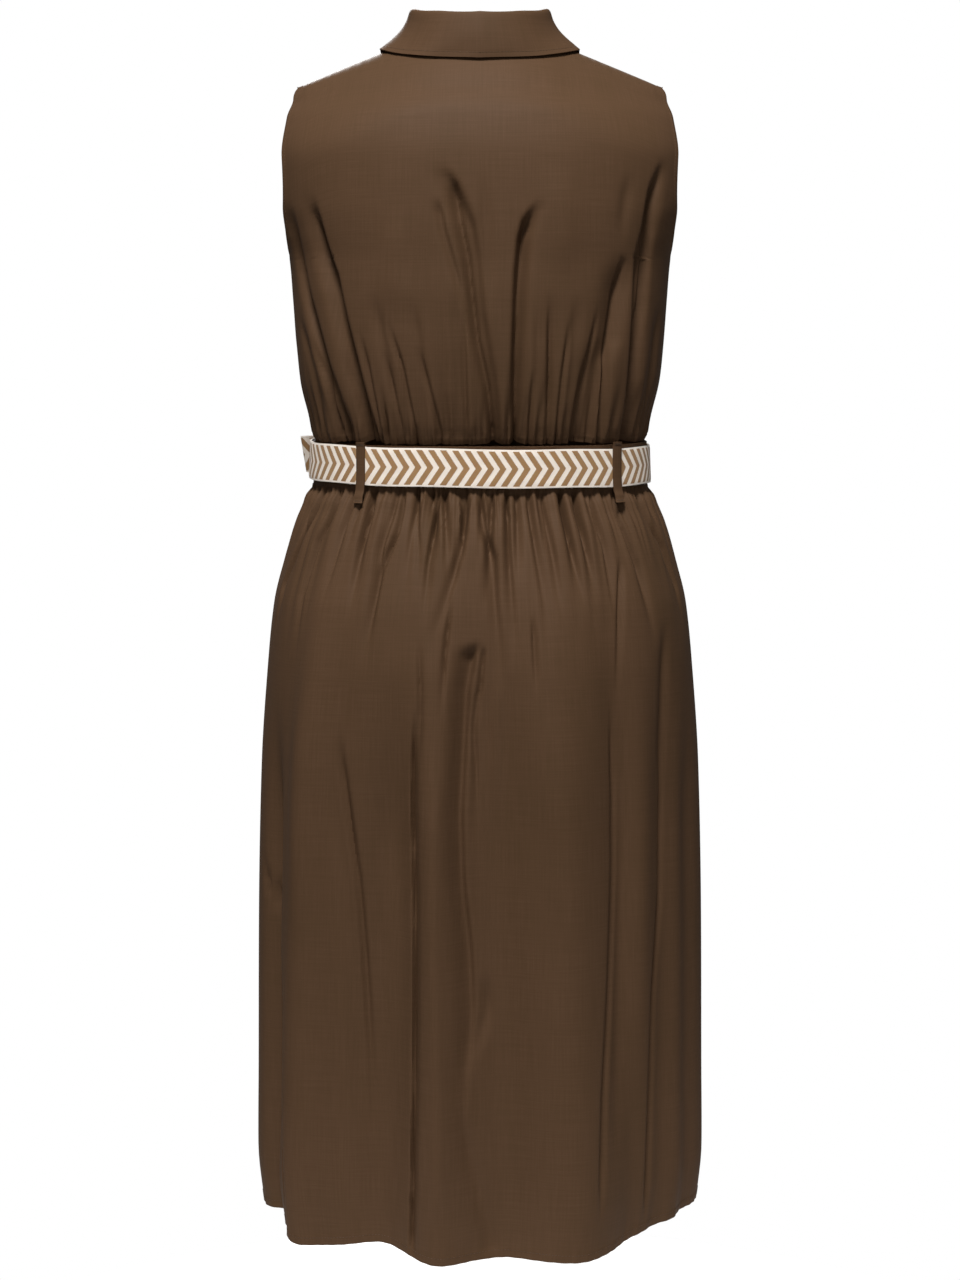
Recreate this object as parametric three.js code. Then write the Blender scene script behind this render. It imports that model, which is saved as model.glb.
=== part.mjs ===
// A sleeveless shirt dress with a gathered waist, a turned-down collar and a tied tape belt.
// Millimetres, +Z up. The front faces -Y and the wearer's left is +X.
// The origin lies midway between the two points where the shoulder seams meet the collar.
// Angles run round the dress in degrees: 0 left side, 90 centre back, 180 right side, -90 centre front.

import * as THREE from "three";

// Cloth and seams
const clothWall = 1.2;
const collarWall = 1.5;
const tapeWall = 1.6;
const seamGap = 0.3;
const layerGap = 0.5;

// The waist: a level ring where the elastic casing holds the dress in
const waist = { halfWidth: 160, back: 113.5, front: 110.5 };

// Gathers: how deep they are at their seam and how far they run from it
const bodiceGathers = { depth: 3.4, length: 150 };
const shoulderGathers = { depth: 1.6, length: 50 };
const skirtGathers = { depth: 4.4, length: 190 };
const ruching = 0.9;

// Heights
const bodiceBottom = -371;
const skirtTop = -416.3;
const hemHeight = -1129;
const underarmHeight = -200;
const shoulderTipHeight = -38;

// Shoulders and neck
const neckHalfWidth = 78;
const shoulderHalfWidth = 174;
const shoulderRound = 80;
const neckCrown = 20;
const backNeckDrop = 15;
const frontNeckDrop = 75;
const armholeOpening = 22;
const collarReach = 22;

// Belt
const tapeWidth = 35.5;
const beltHeight = -389.8;
const beltBackDip = 1.4;
const beltSideTilt = 1.9;
const bowAngle = -48;

// Buttons
const buttonRadius = 5.7;
const buttonHeight = 2.6;
const standButtonHeight = -61;
const bodiceButtons = { count: 4, top: -112, pitch: 78 };
const skirtButtons = { count: 7, top: -462, pitch: 88 };
const placketHalfWidth = 15;

// Every level section is a superellipse of this exponent
const roundness = 2.3;

// Bodice sections: half width where the side would be, depth to the back and depth to the front.
// The armholes cut off the sides above the underarm.
const bodiceSections = [
  { height: -371, side: 159.5, back: 113, front: 110 },
  { height: -364, side: 161.5, back: 115.5, front: 112.5 },
  { height: -351, side: 163.5, back: 119, front: 116 },
  { height: -313, side: 172, back: 124, front: 122 },
  { height: -275, side: 175.5, back: 126, front: 129 },
  { height: -237, side: 178, back: 126, front: 134 },
  { height: -199, side: 181, back: 124, front: 135 },
  { height: -175, side: 187.5, back: 123, front: 129 },
  { height: -150, side: 194, back: 121, front: 120 },
  { height: -105, side: 196.5, back: 115, front: 94 },
  { height: -68, side: 187.5, back: 103, front: 72 },
  { height: -40, side: 174, back: 86, front: 60 },
  { height: 30, side: 174, back: 62, front: 46 },
];

// Skirt sections, waist seam to hem
const skirtSections = [
  { height: -416.3, side: 162, back: 115, front: 112 },
  { height: -428, side: 169, back: 122, front: 116 },
  { height: -448, side: 178, back: 131, front: 122 },
  { height: -486, side: 189, back: 143, front: 129 },
  { height: -525, side: 198.5, back: 154, front: 134 },
  { height: -585, side: 205, back: 163, front: 140 },
  { height: -682, side: 212, back: 167, front: 146 },
  { height: -821, side: 216, back: 169, front: 151 },
  { height: -983, side: 218, back: 170, front: 155 },
  { height: -1060, side: 219, back: 169, front: 156 },
  { height: -1129, side: 212, back: 167, front: 155 },
];

// Long folds of the bodice: a trough that runs from its upper to its lower end
const bodiceFolds = [
  { upperAngle: 82, upper: -112, lowerAngle: 93, lower: -371, width: 15, depth: 6 },
  { upperAngle: 101, upper: -150, lowerAngle: 98, lower: -371, width: 9, depth: 4 },
  { upperAngle: 152, upper: -108, lowerAngle: 144, lower: -371, width: 13, depth: 7 },
  { upperAngle: 135, upper: -190, lowerAngle: 122, lower: -371, width: 13, depth: 5 },
  { upperAngle: 33, upper: -135, lowerAngle: 56, lower: -371, width: 13, depth: 6 },
  { upperAngle: 19, upper: -145, lowerAngle: 42, lower: -371, width: 12, depth: 5 },
  { upperAngle: -42, upper: -230, lowerAngle: -55, lower: -371, width: 13, depth: 6 },
  { upperAngle: -140, upper: -225, lowerAngle: -124, lower: -371, width: 14, depth: 6 },
  { upperAngle: -24, upper: -200, lowerAngle: -30, lower: -371, width: 12, depth: 5 },
  { upperAngle: -158, upper: -205, lowerAngle: -151, lower: -371, width: 12, depth: 5 },
];

// Long folds of the skirt, negative depths stand out as ridges
const skirtFolds = [
  { upperAngle: 90, upper: -430, lowerAngle: 94, lower: -1129, width: 18, depth: 13 },
  { upperAngle: 80, upper: -520, lowerAngle: 82, lower: -1129, width: 17, depth: -13 },
  { upperAngle: 73, upper: -560, lowerAngle: 66, lower: -1129, width: 22, depth: 16 },
  { upperAngle: 47, upper: -440, lowerAngle: 38, lower: -1129, width: 19, depth: -11 },
  { upperAngle: 25, upper: -600, lowerAngle: 23, lower: -1129, width: 13, depth: 17 },
  { upperAngle: 106, upper: -500, lowerAngle: 112, lower: -1129, width: 22, depth: -12 },
  { upperAngle: 123, upper: -440, lowerAngle: 130, lower: -1129, width: 16, depth: 8 },
  { upperAngle: 146, upper: -520, lowerAngle: 142, lower: -1129, width: 22, depth: 12 },
  { upperAngle: 160, upper: -560, lowerAngle: 158, lower: -1129, width: 16, depth: 8 },
  { upperAngle: -22, upper: -470, lowerAngle: -26, lower: -1129, width: 18, depth: 12 },
  { upperAngle: -40, upper: -560, lowerAngle: -42, lower: -1129, width: 20, depth: -9 },
  { upperAngle: -58, upper: -440, lowerAngle: -62, lower: -1129, width: 18, depth: 12 },
  { upperAngle: -120, upper: -450, lowerAngle: -114, lower: -1129, width: 18, depth: 11 },
  { upperAngle: -136, upper: -560, lowerAngle: -134, lower: -1129, width: 20, depth: -9 },
  { upperAngle: -157, upper: -470, lowerAngle: -152, lower: -1129, width: 18, depth: 12 },
];

// How far the hem lifts above its lowest height round the dress
const hemLifts = [
  { angle: -180, lift: 20 },
  { angle: -140, lift: 10 },
  { angle: -90, lift: 6 },
  { angle: -30, lift: 7 },
  { angle: 0, lift: 15 },
  { angle: 18, lift: 15 },
  { angle: 37, lift: 1 },
  { angle: 66, lift: 9 },
  { angle: 83, lift: 0 },
  { angle: 112, lift: 0 },
  { angle: 140, lift: 11 },
  { angle: 180, lift: 20 },
];

// Collar sections by angle: the stand's lean and rise, how far the fall bulges,
// and where the fall's edge meets the bodice
const collarSections = [
  { angle: -90, lean: 6, rise: 27, bulge: 3, edgeAcross: 42, edgeHeight: -106 },
  { angle: -75, lean: 7, rise: 28, bulge: 3, edgeAcross: 58, edgeHeight: -88 },
  { angle: -60, lean: 9, rise: 29, bulge: 2, edgeAcross: 72, edgeHeight: -66 },
  { angle: -30, lean: 12, rise: 30, bulge: -1, edgeAcross: 89, edgeHeight: -31 },
  { angle: 0, lean: 14, rise: 30, bulge: -3, edgeAcross: 92, edgeHeight: -6 },
  { angle: 30, lean: 11, rise: 33, bulge: -1, edgeAcross: 80, edgeHeight: -10 },
  { angle: 60, lean: 7, rise: 35, bulge: 1, edgeAcross: 47, edgeHeight: -15 },
  { angle: 90, lean: 5, rise: 35, bulge: 2, edgeAcross: 0, edgeHeight: -17 },
];

const clothColour = "#5a4433";
const tapeColour = "#c9b08c";
const buttonColour = "#4a382a";

function radians(degrees) {
  return THREE.MathUtils.degToRad(degrees);
}

function clamp01(value) {
  return Math.min(1, Math.max(0, value));
}

function smooth(value) {
  const t = clamp01(value);
  return t * t * (3 - 2 * t);
}

// A value of a table between its rows, as a cubic that never overshoots
function fromTable(rows, key, column, at) {
  const sorted = [...rows].sort((a, b) => a[key] - b[key]);
  const last = sorted.length - 1;
  const place = Math.min(sorted[last][key], Math.max(sorted[0][key], at));
  let index = 0;
  while (index < last - 1 && place > sorted[index + 1][key]) {
    index += 1;
  }
  const rise = (i) => (sorted[i + 1][column] - sorted[i][column]) / (sorted[i + 1][key] - sorted[i][key]);
  const slope = (i) => {
    if (i === 0) return rise(0);
    if (i === last) return rise(last - 1);
    const before = rise(i - 1);
    const after = rise(i);
    return before * after <= 0 ? 0 : (2 * before * after) / (before + after);
  };
  const step = sorted[index + 1][key] - sorted[index][key];
  const t = (place - sorted[index][key]) / step;
  const start = sorted[index][column];
  const end = sorted[index + 1][column];
  const startPart = start * (2 * t ** 3 - 3 * t ** 2 + 1) + step * slope(index) * (t ** 3 - 2 * t ** 2 + t);
  const endPart = end * (3 * t ** 2 - 2 * t ** 3) + step * slope(index + 1) * (t ** 3 - t ** 2);
  return startPart + endPart;
}

function signedPower(value) {
  return Math.sign(value) * Math.abs(value) ** (2 / roundness);
}

// The armhole's edge lies this many degrees in from the side
function armholeAngle(height) {
  const t = clamp01((height - underarmHeight) / (shoulderTipHeight - underarmHeight));
  return armholeOpening * Math.sqrt(Math.sin(Math.PI * t));
}

function bodiceHalfWidth(height) {
  return fromTable(bodiceSections, "height", "side", height);
}

// The height of the shoulder's ridge, which goes on as a crown over the neck's opening
function ridgeHeight(across) {
  const distance = Math.abs(across);
  if (distance < neckHalfWidth) {
    return neckCrown * (1 - (distance / neckHalfWidth) ** 2);
  }
  return (shoulderTipHeight * (distance - neckHalfWidth)) / (shoulderHalfWidth - neckHalfWidth);
}

// The bodice's depth at a place across: it closes to the shoulder's ridge as a quarter circle
function bodiceDepth(across, height, side) {
  const reach = Math.min(1, Math.abs(across) / bodiceHalfWidth(height));
  const depth = fromTable(bodiceSections, "height", side > 0 ? "back" : "front", height);
  const below = clamp01((ridgeHeight(across) - height) / shoulderRound);
  const closing = Math.sqrt(1 - (1 - below) ** 2);
  return side * depth * (1 - reach ** roundness) ** (1 / roundness) * closing;
}

function bodicePoint(angle, height) {
  const across = bodiceHalfWidth(height) * signedPower(Math.cos(radians(angle)));
  const side = Math.sin(radians(angle)) >= 0 ? 1 : -1;
  return new THREE.Vector3(across, bodiceDepth(across, height, side), height);
}

function skirtPoint(angle, height) {
  const sine = Math.sin(radians(angle));
  const across = fromTable(skirtSections, "height", "side", height) * signedPower(Math.cos(radians(angle)));
  const depth = fromTable(skirtSections, "height", sine >= 0 ? "back" : "front", height) * signedPower(sine);
  return new THREE.Vector3(across, depth, height);
}

// A level ring at the waist, grown outward from the bodice's lower edge
function waistPoint(angle, height, growth) {
  const across = (waist.halfWidth + growth) * signedPower(Math.cos(radians(angle)));
  const sine = Math.sin(radians(angle));
  const depth = (sine >= 0 ? waist.back : waist.front) + growth;
  return new THREE.Vector3(across, depth * signedPower(sine), height);
}

function hemAt(angle) {
  return hemHeight + fromTable(hemLifts, "angle", "lift", angle);
}

// Seen from above, the outward direction of a superellipse near enough for offsets
function outward(angle) {
  return new THREE.Vector3(Math.cos(radians(angle)), Math.sin(radians(angle)) * 1.25, 0).normalize();
}

// How deep the long folds cut at a place: each is a soft trough that fades in below its upper end
function foldDepth(folds, angle, height) {
  const millimetresPerDegree = 2.6;
  let depth = 0;
  for (const fold of folds) {
    const t = (fold.upper - height) / (fold.upper - fold.lower);
    if (t <= 0) continue;
    const middle = fold.upperAngle + (fold.lowerAngle - fold.upperAngle) * t;
    const distance = ((angle - middle) * millimetresPerDegree) / fold.width;
    depth += fold.depth * smooth(t * 3) * Math.exp(-distance * distance);
  }
  return depth;
}

// How far a gather moves a column: every second one is a crest, uneven in depth and length
function gatherHeight(gathers, column, last, fromSeam) {
  const { depth, length } = gathers;
  const nearEdge = Math.min(column, last - column) / 3;
  const uneven = 0.7 + 0.3 * Math.sin(column * 2.1) * Math.cos(column * 0.83);
  const reach = length * (0.75 + 0.45 * Math.sin(column * 1.37));
  const fade = Math.max(0, 1 - fromSeam / reach) ** 1.5;
  return (column % 2 === 0 ? 0.5 : -0.5) * depth * uneven * fade * Math.min(1, nearEdge);
}

// The direction out of a grid of points at one of them
function gridNormal(grid, row, column, closed) {
  const rows = grid.length;
  const columns = grid[0].length;
  const at = (r, c) => {
    const wrapped = closed ? (c + columns) % columns : Math.min(columns - 1, Math.max(0, c));
    return grid[Math.min(rows - 1, Math.max(0, r))][wrapped];
  };
  const along = at(row, column + 1).clone().sub(at(row, column - 1));
  const up = at(row + 1, column).clone().sub(at(row - 1, column));
  return along.cross(up).normalize();
}

// A wall of cloth between a grid of points and the same grid moved inward.
// keepPlane names the axis that the wall may not leave at a seam's edge.
function wallGeometry(grid, options) {
  const { thickness, closed = false, centred = false, keepPlane = () => null } = options;
  const rows = grid.length;
  const columns = grid[0].length;
  const outer = [];
  const inner = [];
  grid.forEach((line, row) => {
    line.forEach((point, column) => {
      const normal = gridNormal(grid, row, column, closed);
      const axis = keepPlane(row, column);
      if (axis) {
        normal[axis] = 0;
        normal.normalize();
      }
      outer.push(point.clone().addScaledVector(normal, centred ? thickness / 2 : 0));
      inner.push(point.clone().addScaledVector(normal, centred ? -thickness / 2 : -thickness));
    });
  });
  const positions = [...outer, ...inner].flatMap((point) => point.toArray());
  const innerStart = rows * columns;
  const index = (row, column) => row * columns + (column % columns);
  const triangles = [];
  const quad = (a, b, c, d) => triangles.push(a, b, c, a, c, d);
  const spans = closed ? columns : columns - 1;
  for (let row = 0; row < rows - 1; row += 1) {
    for (let column = 0; column < spans; column += 1) {
      const corners = [
        index(row, column),
        index(row, column + 1),
        index(row + 1, column + 1),
        index(row + 1, column),
      ];
      quad(...corners);
      const [a, b, c, d] = corners.map((corner) => corner + innerStart);
      triangles.push(a, c, b, a, d, c);
    }
  }
  for (let column = 0; column < spans; column += 1) {
    const first = index(0, column);
    const next = index(0, column + 1);
    quad(first, first + innerStart, next + innerStart, next);
    const top = index(rows - 1, column);
    const topNext = index(rows - 1, column + 1);
    quad(topNext, topNext + innerStart, top + innerStart, top);
  }
  if (!closed) {
    for (let row = 0; row < rows - 1; row += 1) {
      const first = index(row, 0);
      const above = index(row + 1, 0);
      quad(above, above + innerStart, first + innerStart, first);
      const last = index(row, columns - 1);
      const lastAbove = index(row + 1, columns - 1);
      quad(last, last + innerStart, lastAbove + innerStart, lastAbove);
    }
  }
  const geometry = new THREE.BufferGeometry();
  geometry.setAttribute("position", new THREE.Float32BufferAttribute(positions, 3));
  geometry.setIndex(triangles);
  geometry.computeVertexNormals();
  return geometry;
}

function material(colour, roughness) {
  return new THREE.MeshStandardMaterial({ color: colour, roughness, metalness: 0 });
}

function piece(name, geometry, colour = clothColour, roughness = 0.62) {
  const mesh = new THREE.Mesh(geometry, material(colour, roughness));
  mesh.name = name;
  return mesh;
}

// The shares of a bodice column's height at which its rows lie, closest near the shoulder
const bodiceRows = [0, 0.05, 0.16, 0.32, 0.5135, 0.532, 0.575, 0.66, 0.77, 0.88, 0.945, 0.985, 1];
const shoulderColumns = 22;
const halfNeckColumns = 7;

// The columns of half a bodice, from its side to its centre: each one's angle at its foot and at its top.
// One column ends on the neck point, and those past it end evenly round the neckline.
function halfBodiceColumns() {
  const cosineAt = (across) => (across / shoulderHalfWidth) ** (roundness / 2);
  const angleAt = (across) => THREE.MathUtils.radToDeg(Math.acos(cosineAt(across)));
  const neckAngle = angleAt(neckHalfWidth);
  const columns = [];
  for (let i = 0; i <= shoulderColumns; i += 1) {
    const angle = (neckAngle * i) / shoulderColumns;
    columns.push({ foot: angle, top: angle });
  }
  for (let i = 1; i <= halfNeckColumns; i += 1) {
    const share = i / halfNeckColumns;
    const across = Math.max(0, neckHalfWidth * Math.cos((Math.PI / 2) * share));
    columns.push({ foot: neckAngle + (90 - neckAngle) * share, top: angleAt(across) });
  }
  return columns;
}

function neckHeight(across, side) {
  const drop = side > 0 ? backNeckDrop : frontNeckDrop;
  return -drop * (1 - (across / neckHalfWidth) ** 2);
}

// Moves each point of a grid out along its normal, in the plane that a seam's edge keeps
function raised(grid, amountAt, keepPlane) {
  return grid.map((line, row) =>
    line.map((point, column) => {
      const normal = gridNormal(grid, row, column, false);
      const axis = keepPlane(row, column);
      if (axis) {
        normal[axis] = 0;
        normal.normalize();
      }
      return point.clone().addScaledVector(normal, amountAt(point, row, column));
    }),
  );
}

// The height at which a bodice column ends, on the neckline or on the shoulder's ridge
function bodiceTop(angle, side) {
  const across = shoulderHalfWidth * signedPower(Math.cos(radians(angle)));
  const onNeck = Math.abs(across) < neckHalfWidth - 0.01;
  return onNeck ? neckHeight(across, side) : ridgeHeight(across);
}

// One bodice panel: columns by angle, rows from the waist seam to the shoulder and neck
function bodicePanel(name, columns, side, shift) {
  const lastRow = bodiceRows.length - 1;
  const lastColumn = columns.length - 1;
  const smoothGrid = bodiceRows.map((share) =>
    columns.map(({ foot, top }) => {
      const angle = foot + (top - foot) * smooth(share);
      const height = bodiceBottom + share * (bodiceTop(top, side) - bodiceBottom);
      const inset = armholeAngle(height) * Math.cos(radians(angle));
      return bodicePoint(angle + side * inset, height);
    }),
  );
  const keepPlane = (row, column) => {
    if (row === 0) return "z";
    const onNeck = Math.abs(smoothGrid[row][column].x) < neckHalfWidth - 1;
    if (row === lastRow && !onNeck) return "y";
    if (column !== 0 && column !== lastColumn) return null;
    return Math.abs(columns[column].foot + 90) < 1 ? "x" : "y";
  };
  const amountAt = (point, row, column) => {
    const angle = columns[column].foot;
    const belowTop = bodiceTop(columns[column].top, side) - point.z;
    const flat = side > 0 ? 1 : smooth((Math.abs(angle + 90) - 7) / 8);
    const fold = foldDepth(bodiceFolds, angle, point.z) * smooth(belowTop / 60);
    const aboveSeam = point.z - bodiceBottom;
    const held = 0.3 + 0.7 * smooth(aboveSeam / 14);
    const gather = held * gatherHeight(bodiceGathers, column, lastColumn, aboveSeam);
    const puckered = side < 0 && Math.abs(point.x) > neckHalfWidth + collarReach;
    const pucker = puckered ? gatherHeight(shoulderGathers, column, lastColumn, belowTop) : 0;
    return flat * (gather - fold) + pucker;
  };
  const grid = raised(smoothGrid, amountAt, keepPlane);
  grid.flat().forEach((point) => point.add(shift));
  return piece(name, wallGeometry(grid, { thickness: clothWall, keepPlane }));
}

function bodicePanels() {
  const half = halfBodiceColumns();
  const turned = (columns, turn) => columns.map(({ foot, top }) => ({ foot: turn(foot), top: turn(top) }));
  const otherHalf = turned(half.slice(0, -1).reverse(), (angle) => 180 - angle);
  const back = [...half, ...otherHalf];
  const frontLeft = turned([...half].reverse(), (angle) => -angle);
  const frontRight = turned(half, (angle) => angle - 180);
  const apart = seamGap / 2;
  return [
    bodicePanel("back_bodice", back, 1, new THREE.Vector3(0, apart, 0)),
    bodicePanel("front_bodice_left", frontLeft, -1, new THREE.Vector3(apart, -apart, 0)),
    bodicePanel("front_bodice_right", frontRight, -1, new THREE.Vector3(-apart, -apart, 0)),
  ];
}

const halfSkirtColumns = 34;

// Heights of the skirt's rows as shares of the way from the waist seam to the hem
const skirtRows = [0, 0.018, 0.05, 0.11, 0.2, 0.34, 0.55, 0.77, 0.94, 1];

// One skirt panel: columns by angle, rows from the hem to the waist seam
function skirtPanel(name, start, end, columns, shift) {
  const step = (end - start) / columns;
  const angles = Array.from({ length: columns + 1 }, (_, column) => start + step * column);
  const lastRow = skirtRows.length - 1;
  const smoothGrid = [...skirtRows].reverse().map((share) =>
    angles.map((angle) => skirtPoint(angle, skirtTop + share * (hemAt(angle) - skirtTop))),
  );
  const keepPlane = (row, column) => {
    if (row === 0 || row === lastRow) return "z";
    if (column !== 0 && column !== columns) return null;
    return Math.abs(angles[column] + 90) < 1 ? "x" : "y";
  };
  const amountAt = (point, row, column) => {
    const angle = angles[column];
    const flat = start < 0 ? smooth((Math.abs(angle + 90) - 6) / 8) : 1;
    const gather = gatherHeight(skirtGathers, column, columns, skirtTop - point.z);
    const fold = foldDepth(skirtFolds, angle, point.z) * smooth(Math.min(column, columns - column) / 4);
    return flat * (gather - fold);
  };
  const grid = raised(smoothGrid, amountAt, keepPlane);
  grid.flat().forEach((point) => point.add(shift));
  return piece(name, wallGeometry(grid, { thickness: clothWall, keepPlane }));
}

function skirtPanels() {
  const apart = seamGap / 2;
  return [
    skirtPanel("skirt_back", 0, 180, 2 * halfSkirtColumns, new THREE.Vector3(0, apart, 0)),
    skirtPanel("skirt_front_left", -90, 0, halfSkirtColumns, new THREE.Vector3(apart, -apart, 0)),
    skirtPanel("skirt_front_right", -180, -90, halfSkirtColumns, new THREE.Vector3(-apart, -apart, 0)),
  ];
}

// The elastic casing of the waist: a ring that is parted at the centre front and ruched fine
function waistCasing() {
  const columns = 76;
  const partAngle = 0.1;
  const top = bodiceBottom - seamGap;
  const bottom = skirtTop + seamGap;
  const grid = [bottom, (top + bottom) / 2, top].map((height) => {
    const line = [];
    for (let column = 0; column <= columns; column += 1) {
      const angle = -90 + partAngle + ((360 - 2 * partAngle) * column) / columns;
      line.push(waistPoint(angle, height, column % 2 === 0 ? 0 : -ruching));
    }
    return line;
  });
  const keepPlane = (row, column) => {
    if (row !== 1) return "z";
    return column === 0 || column === columns ? "x" : null;
  };
  return piece("waist_casing", wallGeometry(grid, { thickness: clothWall, keepPlane }));
}

// The button placket: a strip over both fronts and the casing, from the collar to the hem
function placketDepth(across, height) {
  if (height > bodiceBottom) {
    return bodiceDepth(across, height, -1);
  }
  const angle = -THREE.MathUtils.radToDeg(Math.acos(across / waist.halfWidth));
  if (height > skirtTop) {
    return waistPoint(angle, height, 1.5).y;
  }
  const halfWidth = fromTable(skirtSections, "height", "side", height);
  const depth = fromTable(skirtSections, "height", "front", height);
  return -depth * (1 - (Math.abs(across) / halfWidth) ** roundness) ** (1 / roundness);
}

function placketPoint(across, height) {
  const clearance = 2 * layerGap + clothWall;
  return new THREE.Vector3(across, placketDepth(across, height) - clearance, height);
}

// The heights of the placket's rows below its top edge, the same as those of the panels under it
function placketHeights() {
  const neckline = bodiceTop(-90, -1);
  const bodicePart = bodiceRows
    .filter((share) => share < 0.95)
    .map((share) => bodiceBottom + share * (neckline - bodiceBottom))
    .reverse();
  const skirtPart = skirtRows.map((share) => skirtTop + share * (hemAt(-90) - skirtTop));
  return [...bodicePart, ...skirtPart];
}

function buttonPlacket() {
  const neckGap = 2.5;
  const columns = 4;
  const edgeAt = (column) => -placketHalfWidth + (2 * placketHalfWidth * column) / columns;
  const places = Array.from({ length: columns + 1 }, (_, column) => edgeAt(column));
  const topLine = places.map((across) => placketPoint(across, neckHeight(across, -1) - neckGap));
  const lines = placketHeights().map((height) => places.map((across) => placketPoint(across, height)));
  return piece("button_placket", wallGeometry([topLine, ...lines].reverse(), { thickness: clothWall }));
}

// The place on the placket's flat faces at a height, and the direction out of it
function placketSeat(height) {
  const heights = placketHeights();
  const next = heights.findIndex((rowHeight) => rowHeight < height);
  const above = placketPoint(0, heights[next - 1]);
  const below = placketPoint(0, heights[next]);
  const seat = below.clone().lerp(above, (height - below.z) / (above.z - below.z));
  const facing = new THREE.Vector3(0, below.z - above.z, above.y - below.y).normalize();
  return { seat, facing };
}

// A point of the neckline seen at an angle from above
function neckPoint(angle) {
  const side = Math.sin(radians(angle)) >= 0 ? 1 : -1;
  const across = neckHalfWidth * Math.cos(radians(angle));
  const height = neckHeight(across, side);
  return new THREE.Vector3(across, bodiceDepth(across, height, side), height);
}

// Angles past the centre front are folded back onto the table, which holds one half
function collarValue(angle, column) {
  const folded = angle > 90 ? 180 - angle : angle;
  return fromTable(collarSections, "angle", column, Math.max(-90, folded));
}

const standLap = 10;
const standInset = 3.3;

// The stand's centre line at a share of its rise, its first end tucked under its last
function standPoint(angle, share) {
  const neck = neckPoint(angle);
  const radial = new THREE.Vector3(neck.x, neck.y, 0).normalize();
  const tuck = 2.4 * (1 - smooth((angle + 90 + standLap) / 30));
  const inset = standInset + tuck + collarValue(angle, "lean") * share;
  const foot = -2.5;
  const height = neck.z + foot + (collarValue(angle, "rise") - foot) * share;
  return new THREE.Vector3(neck.x, neck.y, 0).addScaledVector(radial, -inset).setZ(height);
}

function collarStand() {
  const columns = 50;
  const grid = [0, 0.5, 1].map((share) => {
    const line = [];
    for (let column = 0; column <= columns; column += 1) {
      const angle = -90 - standLap + ((360 + 2 * standLap) * column) / columns;
      line.push(standPoint(angle, share));
    }
    return line;
  });
  return piece("collar_stand", wallGeometry(grid, { thickness: collarWall, centred: true }));
}

// The fall's profile at an angle: up from the stand, over its fold and down to the edge
function fallProfile(angle) {
  const top = standPoint(angle, 1);
  const radial = new THREE.Vector3(top.x, top.y, 0).normalize();
  const rolled = (out, up) => top.clone().addScaledVector(radial, out).setZ(top.z + up);
  const side = Math.sin(radians(angle)) >= 0 ? 1 : -1;
  const mirrored = angle > 90 ? -1 : 1;
  const across = mirrored * collarValue(angle, "edgeAcross");
  const height = Math.min(collarValue(angle, "edgeHeight"), ridgeHeight(across) - 0.2);
  const edge = new THREE.Vector3(across, bodiceDepth(across, height, side), height);
  const lift = new THREE.Vector3(0.4 * across, 1.6 * edge.y, 40).normalize();
  edge.addScaledVector(lift, 4.2);
  const shoulder = rolled(5, 2.4);
  const down = [0.25, 0.5, 0.75, 1].map((share) => {
    const bulge = collarValue(angle, "bulge") * Math.sin(Math.PI * share);
    return shoulder.clone().lerp(edge, share).addScaledVector(radial, bulge);
  });
  return [rolled(0, 1.2), rolled(0.6, 3.6), rolled(2.6, 4.4), shoulder, ...down];
}

function collarFall() {
  const columns = 42;
  const frontGap = 2;
  const profiles = [];
  for (let column = 0; column <= columns; column += 1) {
    const angle = -90 + frontGap + ((360 - 2 * frontGap) * column) / columns;
    profiles.push(fallProfile(angle));
  }
  const grid = profiles[0].map((_, row) => profiles.map((profile) => profile[row])).reverse();
  return piece("collar_fall", wallGeometry(grid, { thickness: collarWall, centred: true }));
}

function beltCentre(angle) {
  return beltHeight - beltBackDip * Math.sin(radians(angle)) + beltSideTilt * Math.cos(radians(angle));
}

const beltGrowth = 1.9 + tapeWall;
const beltFrontGrowth = 3.4;
const beltFlare = 1.4;

// The belt's outer face: it flares a little downward, and stands out where it crosses the placket
function beltPoint(angle, height) {
  const front = beltFrontGrowth * smooth(-Math.sin(radians(angle)));
  const flare = (beltFlare * (beltCentre(angle) - height)) / tapeWidth;
  return waistPoint(angle, height, beltGrowth + front + flare);
}

function beltBand() {
  const columns = 64;
  const grid = [-0.5, 0.5].map((share) => {
    const line = [];
    for (let column = 0; column < columns; column += 1) {
      const angle = (360 * column) / columns;
      line.push(beltPoint(angle, beltCentre(angle) + share * tapeWidth));
    }
    return line;
  });
  const keepPlane = () => "z";
  const geometry = wallGeometry(grid, { thickness: tapeWall, closed: true, keepPlane });
  return piece("belt_band", geometry, tapeColour, 0.8);
}

// A carrier: a narrow strip over the belt, sewn down above and below it
function beltCarrier(name, across) {
  const halfWidth = 4;
  const reach = [
    { height: -424, out: 4.4 },
    { height: -418, out: 3.6 },
    { height: -412, out: 1.8 },
    { height: -391, out: 1.5 },
    { height: -373, out: 1.6 },
    { height: -368.5, out: 2.4 },
  ];
  const grid = reach.map(({ height, out }) =>
    [1, 0, -1].map((side) => {
      const x = across + side * halfWidth;
      const belt = beltPoint(90, height).y;
      const halfBelt = beltPoint(0, height).x;
      const onBelt = belt * (1 - (Math.abs(x) / halfBelt) ** roundness) ** (1 / roundness);
      const skirtSide = fromTable(skirtSections, "height", "side", height);
      const skirtBack = fromTable(skirtSections, "height", "back", height);
      const onSkirt = skirtBack * (1 - (Math.abs(x) / skirtSide) ** roundness) ** (1 / roundness);
      const base = height < skirtTop ? Math.max(onBelt, onSkirt) : onBelt;
      const slope = new THREE.Vector3(x / 1.6, base, 0).normalize();
      return new THREE.Vector3(x, base, height).addScaledVector(slope, out);
    }),
  );
  return piece(name, wallGeometry(grid, { thickness: clothWall }));
}

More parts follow.
